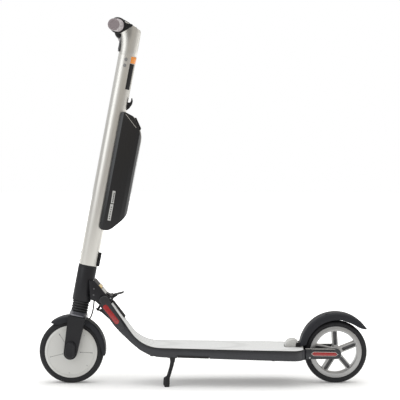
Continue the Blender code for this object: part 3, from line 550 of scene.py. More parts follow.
# %% Wheel metals
def turned_finish(name, centre, dark, light, roughness, metallic):
    """Fine rings round an axle, 0.8 mm apart."""
    finish, tree, shader, place = start_finish(name, dark, roughness, metallic)
    moved = add_node(tree, "ShaderNodeMapping", {
        "Vector": place, "Location": (-centre[0] * MM, 0, -centre[2] * MM), "Scale": (1, 0, 1),
    })
    rings = add_node(tree, "ShaderNodeTexWave", {
        "Vector": moved.outputs[0], "Scale": 150.0, "Distortion": 0.6, "Detail": 2.0, "Detail Scale": 3.0,
    }, wave_type="RINGS", rings_direction="SPHERICAL")
    vary(tree, shader, rings.outputs["Fac"], (dark, light), (roughness, roughness + 0.06), 0.02, 0.00002)
    return finish


motor_paint = turned_finish("pale_painted_motor_cover", FRONT_AXLE, "#C2C2BF", "#C8C8C5", 0.38, 0.3)

cast, tree, shader, place = start_finish("lacquered_cast_aluminium", "#A9A9A9", 0.36, metallic=0.75)
mottle = add_node(tree, "ShaderNodeTexNoise", {"Vector": place, "Scale": 420.0, "Detail": 4.0})
vary(tree, shader, mottle.outputs["Fac"], ("#A0A0A0", "#B4B4B3"), (0.3, 0.44), 0.1, 0.00006)

# A dark mottled metal for the small screws and their seats. It also serves as painted shade: the dark plates in the
# rear spokes' hollows and the dark strips in the motor covers' grooves.
dark_metal_and_shade, tree, shader, place = start_finish("dark_metal_and_painted_shade", "#5C5C5E", 0.45, metallic=0.7)
mottle = add_node(tree, "ShaderNodeTexNoise", {"Vector": place, "Scale": 500.0, "Detail": 4.0})
vary(tree, shader, mottle.outputs["Fac"], ("#525254", "#68686A"), (0.4, 0.55), 0.1, 0.00006)

steel, tree, shader, place = start_finish("zinc_plated_steel", "#A5A6A8", 0.3, metallic=0.95)
scratch = add_node(tree, "ShaderNodeTexNoise", {"Vector": place, "Scale": 800.0, "Detail": 3.0})
vary(tree, shader, scratch.outputs["Fac"], ("#9B9C9F", "#B1B2B4"), (0.24, 0.38), 0.06, 0.00003)

# %% [markdown]
# Reflectors are acrylic with rows of small prisms moulded in their back, about 2 mm across, so red and amber ones show
# a fine honeycomb. The display is smoked acrylic and the headlight's lens is clear with upright flutes.

# %% Lenses
def reflector(name, dark, light):
    finish, tree, shader, place = start_finish(name, dark, 0.16, coat=0.6)
    prisms = add_node(tree, "ShaderNodeTexVoronoi", {"Vector": place, "Scale": 480.0}, feature="DISTANCE_TO_EDGE")
    edge = add_node(tree, "ShaderNodeMapRange", {"Value": prisms.outputs["Distance"], "From Max": 0.35})
    vary(tree, shader, edge.outputs["Result"], (light, dark), (0.12, 0.24), 0.3, 0.0002)
    return finish


red_lens = reflector("red_prismatic_acrylic", "#7C0508", "#9E0E12")
amber_lens = reflector("amber_prismatic_acrylic", "#E0801C", "#F59A3A")
amber_pale = reflector("pale_amber_acrylic", "#E3C079", "#EFD59A")

smoked, tree, shader, place = start_finish("smoked_display_acrylic", "#0C0D10", 0.08, coat=0.5)
faint = add_node(tree, "ShaderNodeTexNoise", {"Vector": place, "Scale": 90.0})
vary(tree, shader, faint.outputs["Fac"], ("#0A0B0D", "#15161A"), (0.06, 0.12))

lamp_lens, tree, shader, place = start_finish("fluted_lamp_lens", "#C9CCD2", 0.12, coat=0.4)
flutes = add_node(tree, "ShaderNodeTexWave", {"Vector": place, "Scale": 90.0}, bands_direction="Y")
vary(tree, shader, flutes.outputs["Fac"], ("#8A8D93", "#DDE0E5"), (0.08, 0.2), 0.3, 0.0002)

sticker, tree, shader, place = start_finish("pale_satin_sticker", "#B9B9B6", 0.45)
fibre = add_node(tree, "ShaderNodeTexNoise", {"Vector": place, "Scale": 300.0})
vary(tree, shader, fibre.outputs["Fac"], ("#AEAEAB", "#C4C4C1"), (0.4, 0.5))

shrink_wrap, tree, shader, place = start_finish("blue_battery_wrap", "#1F4E7D", 0.4)
crease = add_node(tree, "ShaderNodeTexNoise", {"Vector": place, "Scale": 150.0, "Detail": 4.0})
vary(tree, shader, crease.outputs["Fac"], ("#1B466F", "#28608F"), (0.3, 0.5), 0.3, 0.0003)
print("finishes:", len(bpy.data.materials))

# %% [markdown]
# ## Stem
# The stem is an oval extrusion, longer fore and aft than it is wide. It is drawn as one section pulled straight up,
# with a small bevel at the cut ends, and the head's spigot shows as a fine seam above it.

# %% Stem tube and the seam under the head
STEM_HALF = (28.0, 24.0)
tube = pull("stem_tube_drawn", [oval((0, 0, u), *STEM_HALF, steps=96) for u in (268, 929.4)])
fit(on_stem(soften(tube, 0.8)), "steering", anodised, "silver_aluminium", "stem_tube")

spigot = pull("head_spigot", [oval((0, 0, u), 27.5, 23.5) for u in (929.0, 931.0)])
fit(on_stem(soften(spigot, 0)), "steering", anodised, "silver_aluminium")

collar = pull("stem_foot_collar", [oval((0, 0, u), *half) for u, half in (
    (266.5, (27, 23)), (266.5, (28.6, 24.6)), (272, (28.6, 24.6)), (272.5, (28.2, 24.2)),
)])
fit(on_stem(soften(collar, 0)), "steering", powder, "black_paint")

# %% [markdown]
# The head changes from the tube's oval to a block that holds the bar, and its top slants towards the rider. Seen from
# the side it is an outline, and seen from above it is a row of sections, so the piece is what both have in common.

# %% Stem head
HEAD_SIDE = (
    [(28, 930.6), (27.6, 965), (26.6, 1004), (25.0, 1010.5), (1, 1021.4), (-13, 1025.8), (-30, 1031.6)]
    + arc((-37.8, 1016.7), 17.6, 72, 244, 16) + [(-33, 997), (-29.4, 990), (-28, 980), (-28, 950), (-28, 930.6)]
)
side_view = plate("head_side", HEAD_SIDE, -30, 30)
def egg(u, front):
    """The tube's oval at the back, drawn out to a distance in front."""
    return [(x * (front / 28 if x < 0 else 1), y, u) for x, y, _ in oval((0, 0, u), 28, 24, steps=96)]


head = pull("stem_head_block", [egg(u, front) for u, front in (
    (930.6, 28), (945, 28.4), (960, 29.6), (975, 32.4), (990, 38), (1003, 46), (1016, 54), (1045, 60),
)])
carve(head, side_view, "INTERSECT")
bore = put(
    lathe("bar_bore", [(0, -40), (11.3, -40), (11.3, 40), (0, 40)], steps=64),
    Matrix.Translation((-37.8 * MM, 0, 1016.7 * MM)),
)
carve(head, bore)
soften(head, 1.6, 3, 40)
for low, high in ((935.5, 981.5), (986, 999)):
    carve(head, column("lamp_slot", [(-45, -13.6), (-26.6, -13.6), (-26.6, 13.6), (-45, 13.6)], low, high))
TOP_SLOPE = 0.331
middle = (-8.3, 0, 1020.9 + TOP_SLOPE * 8.3)
SLOPE = Matrix.Translation(Vector(middle) * MM) @ Matrix.Rotation(math.atan(TOP_SLOPE), 4, "Y")
button_well = lathe("button_well", [(0, -5), (6.3, -5), (6.3, 4), (0, 4)], "Z", 48)
carve(head, put(button_well, SLOPE @ Matrix.Translation((14 * MM, 0, 0))))
fit(on_stem(head), "steering", anodised, "silver_aluminium", "stem_head")

# %% [markdown]
# The headlight is a tall smoked strip let into the front of the head, and it stands a little proud. Its lamp sits
# behind the lower part, and a short black bezel carries the strip on above a silver bridge.

# %% Headlight
def bulged(low, high, back, front):
    """A strip with a bowed front, in the head's front."""
    bow = [(front - (front - back) * 0.35 * (y / 13) ** 2 * 2, y) for y in (13, 9, 5, 0, -5, -9, -13)]
    return column("strip", [(back, -13)] + [(back, 13)] + bow, low, high)


strip = bulged(936, 981, -26.4, -32.2)
strip.name = strip.data.name = "headlight_smoked_lens"
fit(on_stem(soften(strip, 1.2)), "steering", smoked, "black_glass", "headlight")
lamp = column("headlight_reflector", [(-32.35, -6), (-32.1, -6), (-32.1, 6), (-32.35, 6)], 942, 972)
fit(on_stem(soften(lamp, 0)), "steering", lamp_lens, "clear_lens")
hood = plate("headlight_upper_bezel", [(-26.4, 987), (-29.4, 987), (-31.6, 998.4), (-27, 998.4)], -13, 13)
fit(on_stem(soften(hood, 1.0)), "steering", grained, "black_plastic")

# %% [markdown]
# The slanted top carries a round-cornered smoked display and, behind it, the power button in a ring. Both lie in the
# plane of the slope, so they are drawn flat and then laid on it.

# %% Display and power button
ON_TOP = STEM @ SLOPE
bezel = pull("display_bezel", [oval((-17.2, 0, z), hx, hy, 4.5, 96) for z, hx, hy in (
    (-1.0, 15.4, 21.4), (1.2, 15.4, 21.4), (2.2, 15.0, 21.0), (2.4, 14.4, 20.4), (2.3, 13.4, 19.4),
)])
fit(put(soften(bezel, 0), ON_TOP), "steering", grained, "black_plastic")
display = pull("display_window", [oval((-17.2, 0, z), hx, hy, 4.5, 96) for z, hx, hy in ((1.6, 13.2, 19.2), (2.6,
    13.2, 19.2), (2.8, 12.8, 18.8))])
fit(put(soften(display, 0), ON_TOP), "steering", smoked, "black_glass", "dashboard")

button = put(
    lathe("power_button_cap", [(0, -1.5), (5.8, -1.5), (5.8, 1.2), (5.3, 1.8), (4, 1.6), (0, 1.5)], "Z", 48),
    Matrix.Translation((14 * MM, 0, 0)),
)
fit(put(soften(button, 0), ON_TOP), "power_button", anodised, "silver_aluminium", "power_button")
ring = put(
    lathe("power_button_ring", [(6.5, -1), (8.2, -1), (8.2, 0.7), (7.6, 1.1), (6.5, 0.9)], "Z", 48),
    Matrix.Translation((14 * MM, 0, 0)),
)
fit(put(soften(ring, 0), ON_TOP), "steering", grained, "black_plastic")

# %% [markdown]
# ## Handlebar and controls
# The bar leaves the head level and then droops by five degrees towards its ends. A row of round sections along that
# line makes it. Each control is turned about its own end of the bar, on the left, and mirrored for the right.

# %% Handlebar
def bar_point(y):
    reach = abs(y)
    for (y0, v0, u0), (y1, v1, u1) in zip(BAR_LINE, BAR_LINE[1:]):
        if reach <= y1:
            share = (reach - y0) / (y1 - y0)
            return Vector((v0 + (v1 - v0) * share, y, u0 + (u1 - u0) * share))


def eased_bar_point(y):
    """The bar's line with its corners rounded."""
    return (bar_point(y) * 2 + bar_point(y - 7) + bar_point(y + 7)) / 4


stops = [-200, -140, -95, -84, -78, -70, -60, -52, -44, -34, -27, -22, 0]
stops += [-y for y in reversed(stops[:-1])]
rings = []
for y in stops:
    c = eased_bar_point(y)
    rings.append([(c.x + 11 * math.cos(a), y,
        c.z + 11 * math.sin(a)) for a in (math.tau * i / 40 for i in range(40))])
fit(on_stem(soften(pull("bent_handlebar", rings), 0)), "steering", anodised, "silver_aluminium", "handlebar")

# %% Grips, housings and thumb levers
inner, outer = bar_point(-95), bar_point(-208)
turn = Vector((0, -1, 0)).rotation_difference((outer - inner).normalized()).to_matrix().to_4x4()
ON_BAR = STEM @ Matrix.Translation(inner * MM) @ turn

GRIP = [(11.3, -12), (18.6, -12), (19.6, -13), (19.6, -17), (18.4, -18.5)]
for rib in range(11):
    at = -22 - rib * 7.6
    radius = 18.2 - rib * 0.12
    GRIP += [(radius, at), (radius - 0.7, at - 1.0), (radius - 0.7, at - 2.2), (radius, at - 3.2)]
GRIP += [(16.8, -108), (17.6, -109.5), (17.8, -114), (17.0, -117), (15.2, -118.2), (11.5, -118.6), (10.9, -117.9),
    (0, -117.6)]
GRIP += [(0, -115.2), (11.3, -115.2)]
grip = soften(lathe("left_grip_rubber", GRIP), 0, angle=40)
put(grip, ON_BAR)

HOUSING = [(11.3, 11), (17, 11), (21.4, 10.2), (23.4, 8.2), (24, 5), (24, -1.6), (23.2, -2.6), (11.3, -2.6)]
housing = soften(lathe("brake_control_housing", HOUSING), 0, angle=40)
put(housing, ON_BAR)

LEVER = [(11.3, -3.6), (23.0, -3.6), (24.0, -4.6), (24.0, -9.8), (22.4, -11.2), (11.3, -11.2)]
lever = lathe("brake_thumb_lever", LEVER)
paddle = plate("paddle", [(12, 13), (20, 13), (27, 11), (40, 11.4), (43.6, 10.2), (44.6, 7.2), (42.4, 3.6), (19,
    -16.5), (13, -13)], -11, -4)
carve(lever, paddle, "UNION")
clear = lathe("lever_bore", [(0, -40), (11.3, -40), (11.3, 40), (0, 40)])
carve(lever, clear)
put(soften(lever, 0.9, 3, 35), ON_BAR)

for piece, right_name, body_left, body_right, finish, slot, left_node, right_node in (
    (grip, "right_grip_rubber", "steering", "steering", grip_rubber, "grip_rubber", "grip_left", "grip_right"),
    (housing, "throttle_control_housing", "steering", "steering", grained, "black_plastic", "brake_housing",
        "throttle_housing"),
    (lever, "throttle_thumb_lever", "brake_lever", "throttle_lever", grained, "black_plastic", "brake_lever",
        "throttle_lever"),
):
    other = twin(piece, right_name)
    fit(piece, body_left, finish, slot, left_node)
    fit(other, body_right, finish, slot, right_node)
print("controls fitted:", made[-6:])

# %% [markdown]
# ## Things on the stem
# The second battery hugs the back of the tube. From the side it is a long lozenge with a blunt slanted top, and from
# above its front corners are chamfered towards the tube, which gives the long thin highlight along it.

# %% External battery
CASE_SIDE = [(15, 399), (17, 393.4), (21.6, 390.2), (28, 389.4), (38, 390.2), (46, 393.6), (54, 399.5), (76, 425.4),
    (84, 437), (88, 447)]
CASE_SIDE += [(89.7, 458), (90.1, 528), (89.4, 600), (89.1, 678), (87.4, 692), (83.9, 702.7), (72.6, 725.6), (56.5,
    746)]
CASE_SIDE += [(50, 750.5), (27, 757.6), (20, 757.4), (15, 753)]
CASE_PLAN = [(15, -28.2), (24.5, -33), (72, -33), (83, -29.5), (89, -20.5), (90.5, -12)]
case = plate("battery_case", CASE_SIDE, -40, 40)
plan = column("battery_plan", CASE_PLAN + [(x, -y) for x, y in reversed(CASE_PLAN)], 380, 770)
carve(case, plan, "INTERSECT")
tube_space = pull("tube_space", [oval((0, 0, u), 28.4, 24.4) for u in (380, 770)])
carve(case, tube_space)
soften(case, 2.2, 4, 14)
fit(on_stem(case), "steering", battery_case, "black_plastic", "external_battery")

# %% [markdown]
# A thin bright trim runs down the slanted top between the case and its lid, and the lid's black catch sits at the end
# of it. Two plain pale stickers sit low on the case's side.

# %% Battery trim, catch and stickers
def band(start, end, half_width):
    """A thin upright band between two points of the side view."""
    start, end = Vector(start), Vector(end)
    across = (end - start).normalized().orthogonal() * half_width
    return [tuple(start + across), tuple(end + across), tuple(end - across), tuple(start - across)]


trim = plate("battery_lid_trim", band((30, 751.5), (69.5, 716.5), 0.7), -33.25, 33.25)
plan = column("trim_plan", [(x, y * 1.008) for x, y in CASE_PLAN] + [(x, -y * 1.008) for x,
    y in reversed(CASE_PLAN)], 700, 770)
carve(trim, plan, "INTERSECT")
fit(on_stem(soften(trim, 0)), "steering", anodised, "silver_aluminium")

catch = plate("battery_catch", [(58.2, 745.9), (61.5, 747.5), (82.5, 717.6), (81.5, 711.4), (77.5, 715.6)], -11, 11)
fit(on_stem(soften(catch, 1.0)), "battery_latch", grained, "black_plastic", "battery_latch")

for name, corners in (
    ("upper_sticker", [(36, 476), (44.6, 476), (43.4, 514), (34.8, 514)]),
    ("lower_sticker", [(35.5, 422), (45, 422), (44.7, 473), (35.3, 473)]),
):
    label = plate(name, corners, -33.3, -32.8)
    fit(on_stem(soften(label, 0)), "steering", sticker, "grey_silicone")
    marks = []
    (x, low), high = corners[0], corners[2][1]
    for step in range(6):
        start = low + 4 + (high - low - 8) * step / 6
        marks.append(plate("mark", [(x + 3, start), (x + 6.4, start), (x + 6.2, start + 3.4), (x + 2.8,
            start + 3.4)], -33.45, -33.25))
    marks = together(name.replace("sticker", "code"), marks)
    fit(on_stem(soften(marks, 0)), "steering", grained, "black_plastic")

# %% [markdown]
# The bag hook is a small claw above the battery. The cable's cover is a little block near the foot of the tube. Both
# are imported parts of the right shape, so they only need their edges broken.

# %% Hook, cable cover, strips and screws
fit(dress("stem_hook", 0.8), "steering", grained, "black_plastic", "stem_hook")
fit(dress("stem_cable_cover", 1.2), "steering", grained, "black_plastic", "stem_cable_cover")


def tube_patch(name, start, end, low, high, proud):
    """A thin patch on the oval tube, between two angles from its back."""
    angles = [math.radians(start + (end - start) * i / 20) for i in range(21)]
    outside = [((STEM_HALF[0] + proud) * math.cos(a), (STEM_HALF[1] + proud) * math.sin(a)) for a in angles]
    inside = [((STEM_HALF[0] - 0.4) * math.cos(a), (STEM_HALF[1] - 0.4) * math.sin(a)) for a in reversed(angles)]
    return on_stem(soften(column(name, outside + inside, low, high), 0.3))


fit(tube_patch("rear_amber_reflector", -60, 60, 907, 927.5, 0.6), "steering", amber_lens, "red_lens")
fit(tube_patch("side_black_strip", -62, -25, 826, 905.5, 0.35), "steering", grained, "black_plastic")

SCREW = [(0, -1.5), (1.6, -1.4), (2.3, -0.9), (2.4, -0.1), (3.2, -0.1), (3.4, -0.9), (4.1, -0.9), (4.4, -0.3), (4.4,
    0.8), (0, 0.8)]
for index, (v, u, finish) in enumerate(((-0.7, 915.6, dark_metal_and_shade), (-1.3, 897.2, dark_metal_and_shade))):
    for side, word in ((-1, "left"), (1, "right")):
        screw = lathe(f"stem_screw_{index}_{word}", [(r, -a * side) for r, a in SCREW], steps=40)
        put(screw, Matrix.Translation((v * MM, side * 23.9 * MM, u * MM)) @ Matrix.Scale(-1, 4, (0, 1, 0)))
        edit(screw)
        tidy_mesh(screw)
        fit(on_stem(soften(screw, 0)), "steering", steel, "steel")
        washer = lathe(f"stem_screw_seat_{index}_{word}", [(2.5, 0.5 * side), (4.9, 0.5 * side), (4.9, -0.6 * side),
            (4.5, -0.75 * side), (2.5, -0.3 * side)][::-side], steps=40)
        put(washer, Matrix.Translation((v * MM, side * 23.9 * MM, u * MM)) @ Matrix.Scale(-1, 4, (0, 1, 0)))
        edit(washer)
        tidy_mesh(washer)
        fit(on_stem(soften(washer, 0)), "steering", finish, "black_plastic")

for index, (v, u) in enumerate(((-28.0, 308.6), (-28.0, 281.5))):
    screw = lathe(f"front_screw_{index}", SCREW, steps=32)
    put(screw, Matrix.Translation((v * MM, 0, u * MM)) @ Matrix.Rotation(math.radians(-90), 4, "Z"))
    fit(on_stem(soften(screw, 0)), "steering", steel, "steel")

# %% [markdown]
# ## Front wheel and fork
# The solid tyre is turned from one profile: a flat tread with two fine grooves, a round shoulder and a thin step at the
# bead. The motor's covers are shallow cones, with a groove inside the rim and a chamfer outside it.

# %% Front tyre
def mirrored(half):
    """A profile given for one side, closed with its mirror image."""
    return half + [(r, -a) for r, a in reversed(half)]


TREAD = [(78.3, 17.5), (80.6, 18.6), (82, 21.2), (84, 21.6), (84.6, 21.2), (85.2, 21.6), (89.5, 21.3)]
TREAD += [(93.2, 20.0), (96.4, 17.4), (98.6, 13.6), (99.3, 9.6), (98.5, 9.2), (98.5, 8.4), (99.45, 8.0), (99.5,
    0.6)]
front_tyre = soften(lathe("front_tyre_turned", mirrored(TREAD), steps=128), 0, angle=38)
fit(put(front_tyre, STEM), "front_wheel", tyre_rubber, "tyre_rubber", "front_tyre")

# %% Motor covers
FACE = [(6.6, 22.3), (6.6, 24.6), (17, 24.6), (17.6, 25.2), (24, 25.35), (70.6, 25.0), (71.2, 24.3), (72.6, 24.3),
    (73.2, 24.9)]
FACE += [(79.4, 23.0), (80.9, 22.5), (81, 22.3)]
cover = lathe("motor_cover_left", [(r, -a) for r, a in FACE] + [(60, -21.9)], steps=128)
shell = lathe("motor_shell_right", FACE + [(78, 22.0), (78, -21.8), (74, -21.8), (74, 21.5), (40, 21.9)], steps=128)
for side, drum in ((-1, cover), (1, shell)):
    # Each cover gets three carved grooves filled with dark strips and a dark dot at each end: painted shade, standing
    # in for the shadow in the grooves.
    for index, (degrees, start, end) in enumerate(((134, 27, 63), (205, 27, 66), (8, 30, 62))):
        line = plate(f"line_{index}", [(start, -0.45), (end, -0.45), (end, 0.45), (start, 0.45)],
            *sorted((24.7 * side, 27 * side)))
        put(line, Matrix.Rotation(-math.radians(degrees), 4, "Y"))
        carve(drum, line)
        ends = [lathe("end", [(0, 24.2 * side), (1.5, 24.2 * side), (1.5, 25.5 * side), (0, 25.6 * side)],
            steps=20) for _ in range(2)]
        for dot, r in zip(ends, (start, end)):
            put(dot, Matrix.Translation((r * MM, 0, 0)))
        groove_shade_fill = plate("groove_shade_fill", [(start, -0.5), (end, -0.5), (end, 0.5), (start, 0.5)], *sorted((24.2 * side,
            25.45 * side)))
        seam = soften(together(f"disc_line_{index}_{'left' if side < 0 else 'right'}", [groove_shade_fill] + ends), 0)
        put(seam, Matrix.Rotation(-math.radians(degrees), 4, "Y"))
        fit(put(seam, STEM), "front_wheel", dark_metal_and_shade, "steel")
    soften(drum, 0, angle=24)
fit(put(cover, STEM), "front_wheel", motor_paint, "pale_cover", "motor_cover")
fit(put(shell, STEM), "front_wheel", motor_paint, "pale_cover", "motor_shell")

# %% [markdown]
# Small countersunk screws hold each cover, and a nut closes the axle. A screw is turned once and copied round.

# %% Cover screws and axle
DOT = [(0, 24.6), (1.7, 24.6), (1.7, 25.7), (1.3, 25.9), (0.9, 25.9), (0.8, 25.3), (0, 25.3)]
for side, word in ((-1, "left"), (1, "right")):
    dots = []
    for index, degrees in enumerate((8, 62, 134, 205, 276, 330)):
        dot = lathe(f"cover_screw_{index}", [(r, a * side) for r, a in DOT], steps=20)
        a = math.radians(degrees)
        put(dot, Matrix.Translation((65.5 * math.cos(a) * MM, 0, 65.5 * math.sin(a) * MM)))
        dots.append(dot)
    fit(put(soften(together(f"cover_screws_{word}", dots), 0), STEM), "front_wheel", steel, "steel")
fit(dress("front_axle", 0.5), "fork", steel, "steel", "front_axle")

# %% [markdown]
# The fork is one casting: a crown with sloping shoulders and two flat legs with round ends. Each leg carries a dished
# cap with a round top, which hides the axle's nut. The crown's shoulder is a piece clamped over the legs, and its paler
# graphite is a painted highlight that stands in for the light it catches from above.

# %% Fork
fork = dress("fork", 0)
put(fork, STEM.inverted())
soften(fork, 1.0, 2, 38)
fit(on_stem(fork), "fork", powder, "black_paint", "fork")

crown = pull("fork_crown_shoulder", [oval((0, 0, u), hx, hy, power, 96) for u, hx, hy, power in (
    (115.4, 26.9, 47.6, 5), (117.2, 27.4, 46.6, 4.2), (119.4, 27.4, 41, 3.2), (121.6, 27.0, 34.5, 2.6), (123.8,
        26.3, 28.8, 2.2), (125.7, 25.6, 26.2, 2),
)])
fit(on_stem(soften(crown, 0, angle=50)), "fork", crown_highlight_paint, "graphite_aluminium")
for side, word in ((-1, "left"), (1, "right")):
    outline = arc((-1.5, 20.5), 14.2, 4, 176, 24) + arc((0.0, 0.0), 15.8, 190, 350, 24)
    cap = plate(f"fork_axle_cap_{word}", outline, *sorted((48.6 * side, 58.4 * side)))
    soften(cap, 2.6, 4, 30)
    dish = arc((-1.5, 18.5), 10.8, 2, 178, 24) + arc((0.0, 2.0), 11.6, 188, 352, 24)
    carve(cap, plate("dish", dish, *sorted((57.4 * side, 62 * side))))
    fit(on_stem(soften(cap, 0.35, 2, 50)), "fork", powder, "black_paint")
    dimple = lathe(f"fork_cap_screw_{word}", [(r, a * side) for r, a in ((0, 57.2), (2.2, 57.2), (2.2, 57.8), (1.6,
        58.0), (0, 57.7))], steps=24)
    put(dimple, Matrix.Translation((0, 0, 20 * MM)))
    fit(on_stem(soften(dimple, 0)), "fork", grained, "black_plastic")

# %% [markdown]
# Each mudguard is a shell with a channel's cross-section. Turning the channel round its own centre makes a whole ring,
# and the side view cuts out the part that is there, so the shoulders are round and the wall is thin everywhere.

# %% Mudguards
def mudguard(name, centre, radius, half_width, wall, shoulder, side_view):
    outside = [(radius, 0), (radius - 0.3, half_width - shoulder * 1.4)]
    outside += [(radius - shoulder + shoulder * math.cos(a),
        half_width - shoulder + shoulder * math.sin(a)) for a in (
        math.radians(15 * i) for i in range(1, 7))]
    inner = half_width - wall
    inside = [(radius - 40, half_width), (radius - 40, inner), (radius - wall - 1.5, inner)]
    inside += [(radius - wall, inner - 1.5), (radius - wall, 0)]
    half = outside + inside
    profile = half + [(r, -a) for r, a in reversed(half[1:-1])]
    ring = lathe(name, profile, steps=144)
    put(ring, Matrix.Translation((centre[0] * MM, 0, centre[1] * MM)))
    carve(ring, plate("side_view", side_view, -60, 60), "INTERSECT")
    return soften(ring, 0.35, 2, 40)


def polar(centre, places):
    """Points given by their angle and radius round a centre."""
    return [(centre[0] + r * math.cos(math.radians(a)), centre[1] + r * math.sin(math.radians(a))) for a,
        r in places]


front_view = arc((-1, 5.4), 110, 136.8, 1.2, 44) + polar((-1, 5.4), (
    (1.2, 98), (6, 96), (12, 93.4), (18, 91.4), (24, 90.2), (32, 89.6), (45, 89.6), (60, 89.6), (80, 89.2), (98,
        88.2),
    (108, 87.2), (114, 86.4), (119, 86), (123, 86.2), (126.5, 87.6), (129.6, 90.2), (132.2, 93.8), (134.4,
        98), (136, 102), (137, 106),
))
front_guard = mudguard("front_mudguard", (-1.0, 5.4), 106, 29, 2.3, 7, front_view)
fit(on_stem(front_guard), "fork", guard_skin, "graphite_aluminium", "front_fender")

rear_view = arc(FENDER_CENTRE, 118, 176, 62, 40) + [(474.5, 204.4), (486, 193.6), (496, 182.4), (504, 171.8),
    (506.4, 169.2)]
rear_view += [(498, 169.6), (488, 171.4), (480, 174.2), (472, 178.6), (464, 183.2), (454, 188.0), (442, 192.6),
    (430, 196.2)] + arc((415.3, 97.0), 101.4, 83, 166, 36)
rear_guard = mudguard("rear_mudguard", FENDER_CENTRE, FENDER_RADIUS, 30, 2.8, 9, rear_view)
barrel = put(lathe("hinge_barrel", [(2.9, -19.6), (8, -19.6), (8, 19.6), (2.9, 19.6)], steps=48),
    Matrix.Translation(Vector(FENDER_PIVOT) * MM))
px, pz = FENDER_PIVOT[0], FENDER_PIVOT[2]
web = plate("hinge_web", [(px + 5, pz - 5), (px + 22, pz - 3.5), (px + 27, pz + 4), (px + 25, pz + 8), (px + 5,
    pz + 6)], -19.6, 19.6)
carve(barrel, web, "UNION")
pin_space = put(lathe("pin_space", [(0, -30), (2.9, -30), (2.9, 30), (0, 30)]),
    Matrix.Translation(Vector(FENDER_PIVOT) * MM))
carve(barrel, pin_space)
fit(soften(barrel, 0.8), "fender", grained, "black_plastic")
notch = plate("notch", [(374.5, 212.2), (388.5, 217.2), (387, 221.5), (372.5, 217)], -31, -21)
carve(rear_guard, notch)
fit(soften(rear_guard, 0, angle=40), "fender", guard_skin, "graphite_aluminium", "rear_fender")

# %% [markdown]
# ## Rear wheel
# The rear wheel has no motor. Its rim is cast with five straight spokes, and each face of a spoke is hollowed, so the
# section is like the letter I. A thin dark plate lines the floor of each hollow: painted shade, standing in for the
# shadow inside the hollows.

# %% Rear tyre
SLICK = [(80.3, 14.6), (81.4, 16.4), (84, 17), (84.6, 16.6), (85.2, 16.9), (90, 16.4), (93.2, 14.7), (95.6, 11.6),
    (96.6, 8.2)]
SLICK += [(96.0, 7.8), (96.0, 7.0), (96.9, 6.6), (97, 0.6)]
rear_tyre = soften(lathe("rear_tyre_turned", mirrored(SLICK), steps=128), 0, angle=38)
AT_REAR = Matrix.Translation(Vector(REAR_AXLE) * MM)
fit(put(rear_tyre, AT_REAR), "rear_wheel", tyre_rubber, "tyre_rubber", "rear_tyre")

# %% Rear rim
RIM = [(65.5, 15.4), (66.3, 16.8), (68.5, 17), (78.8, 17), (80, 16.0), (80, 13.5), (80, 4)]
rim = lathe("cast_rear_rim", mirrored(RIM), steps=120)
for spoke in range(5):
    bar = plate("spoke", [(12, -8.5), (68, -8.5), (68, 8.5), (12, 8.5)], -13.5, 13.5)
    for side in (-1, 1):
        channel = plate("channel", [(21, -3.4), (25, -5.2), (61, -5.2), (64.2, -3.2), (64.2, 3.2), (61, 5.2), (25,
            5.2), (21, 3.4)], *sorted((5.5 * side, 20 * side)))
        carve(bar, channel)
    put(bar, Matrix.Rotation(-math.radians(94 + 72 * spoke), 4, "Y"))
    carve(rim, bar, "UNION")
hub = lathe("hub", [(8, -17), (15.5, -17), (17.5, -15.5), (17.5, 15.5), (15.5, 17), (8, 17)], steps=64)
carve(rim, hub, "UNION")
carve(rim, lathe("hub_bore", [(0, -30), (8, -30), (8, 30), (0, 30)], steps=48))
for side in (-1, 1):
    carve(rim, lathe("bearing_seat", [(0, 9 * side), (11.3, 9 * side), (11.3, 25 * side), (0, 25 * side)],
        steps=48))
soften(rim, 0.8, 2, 40)
fit(put(rim, AT_REAR), "rear_wheel", cast, "rim_aluminium", "rear_rim")
# Thin dark plates on the floors of the hollows are painted shade for the shadow inside them.
hollow_shade_plates = []
for spoke in range(5):
    for side in (-1, 1):
        web = plate("web", [(21.6, -3.2), (25.2, -4.9), (60.8, -4.9), (63.9, -3.0), (63.9, 3.0), (60.8, 4.9), (25.2,
            4.9), (21.6, 3.2)], *sorted((5.3 * side, 5.75 * side)))
        hollow_shade_plates.append(put(web, Matrix.Rotation(-math.radians(94 + 72 * spoke), 4, "Y")))
hollow_shade_plates = soften(together("spoke_hollow_painted_shade", hollow_shade_plates), 0)
fit(put(hollow_shade_plates, AT_REAR), "rear_wheel", dark_metal_and_shade, "rim_aluminium")
fit(dress("rear_axle", 0.5), "deck", steel, "steel", "rear_axle")

# %% [markdown]
# The arms that carry the axle are smooth castings, rounder along the top than below. A red reflector with pointed ends
# lies in each, inside a thin pale frame.

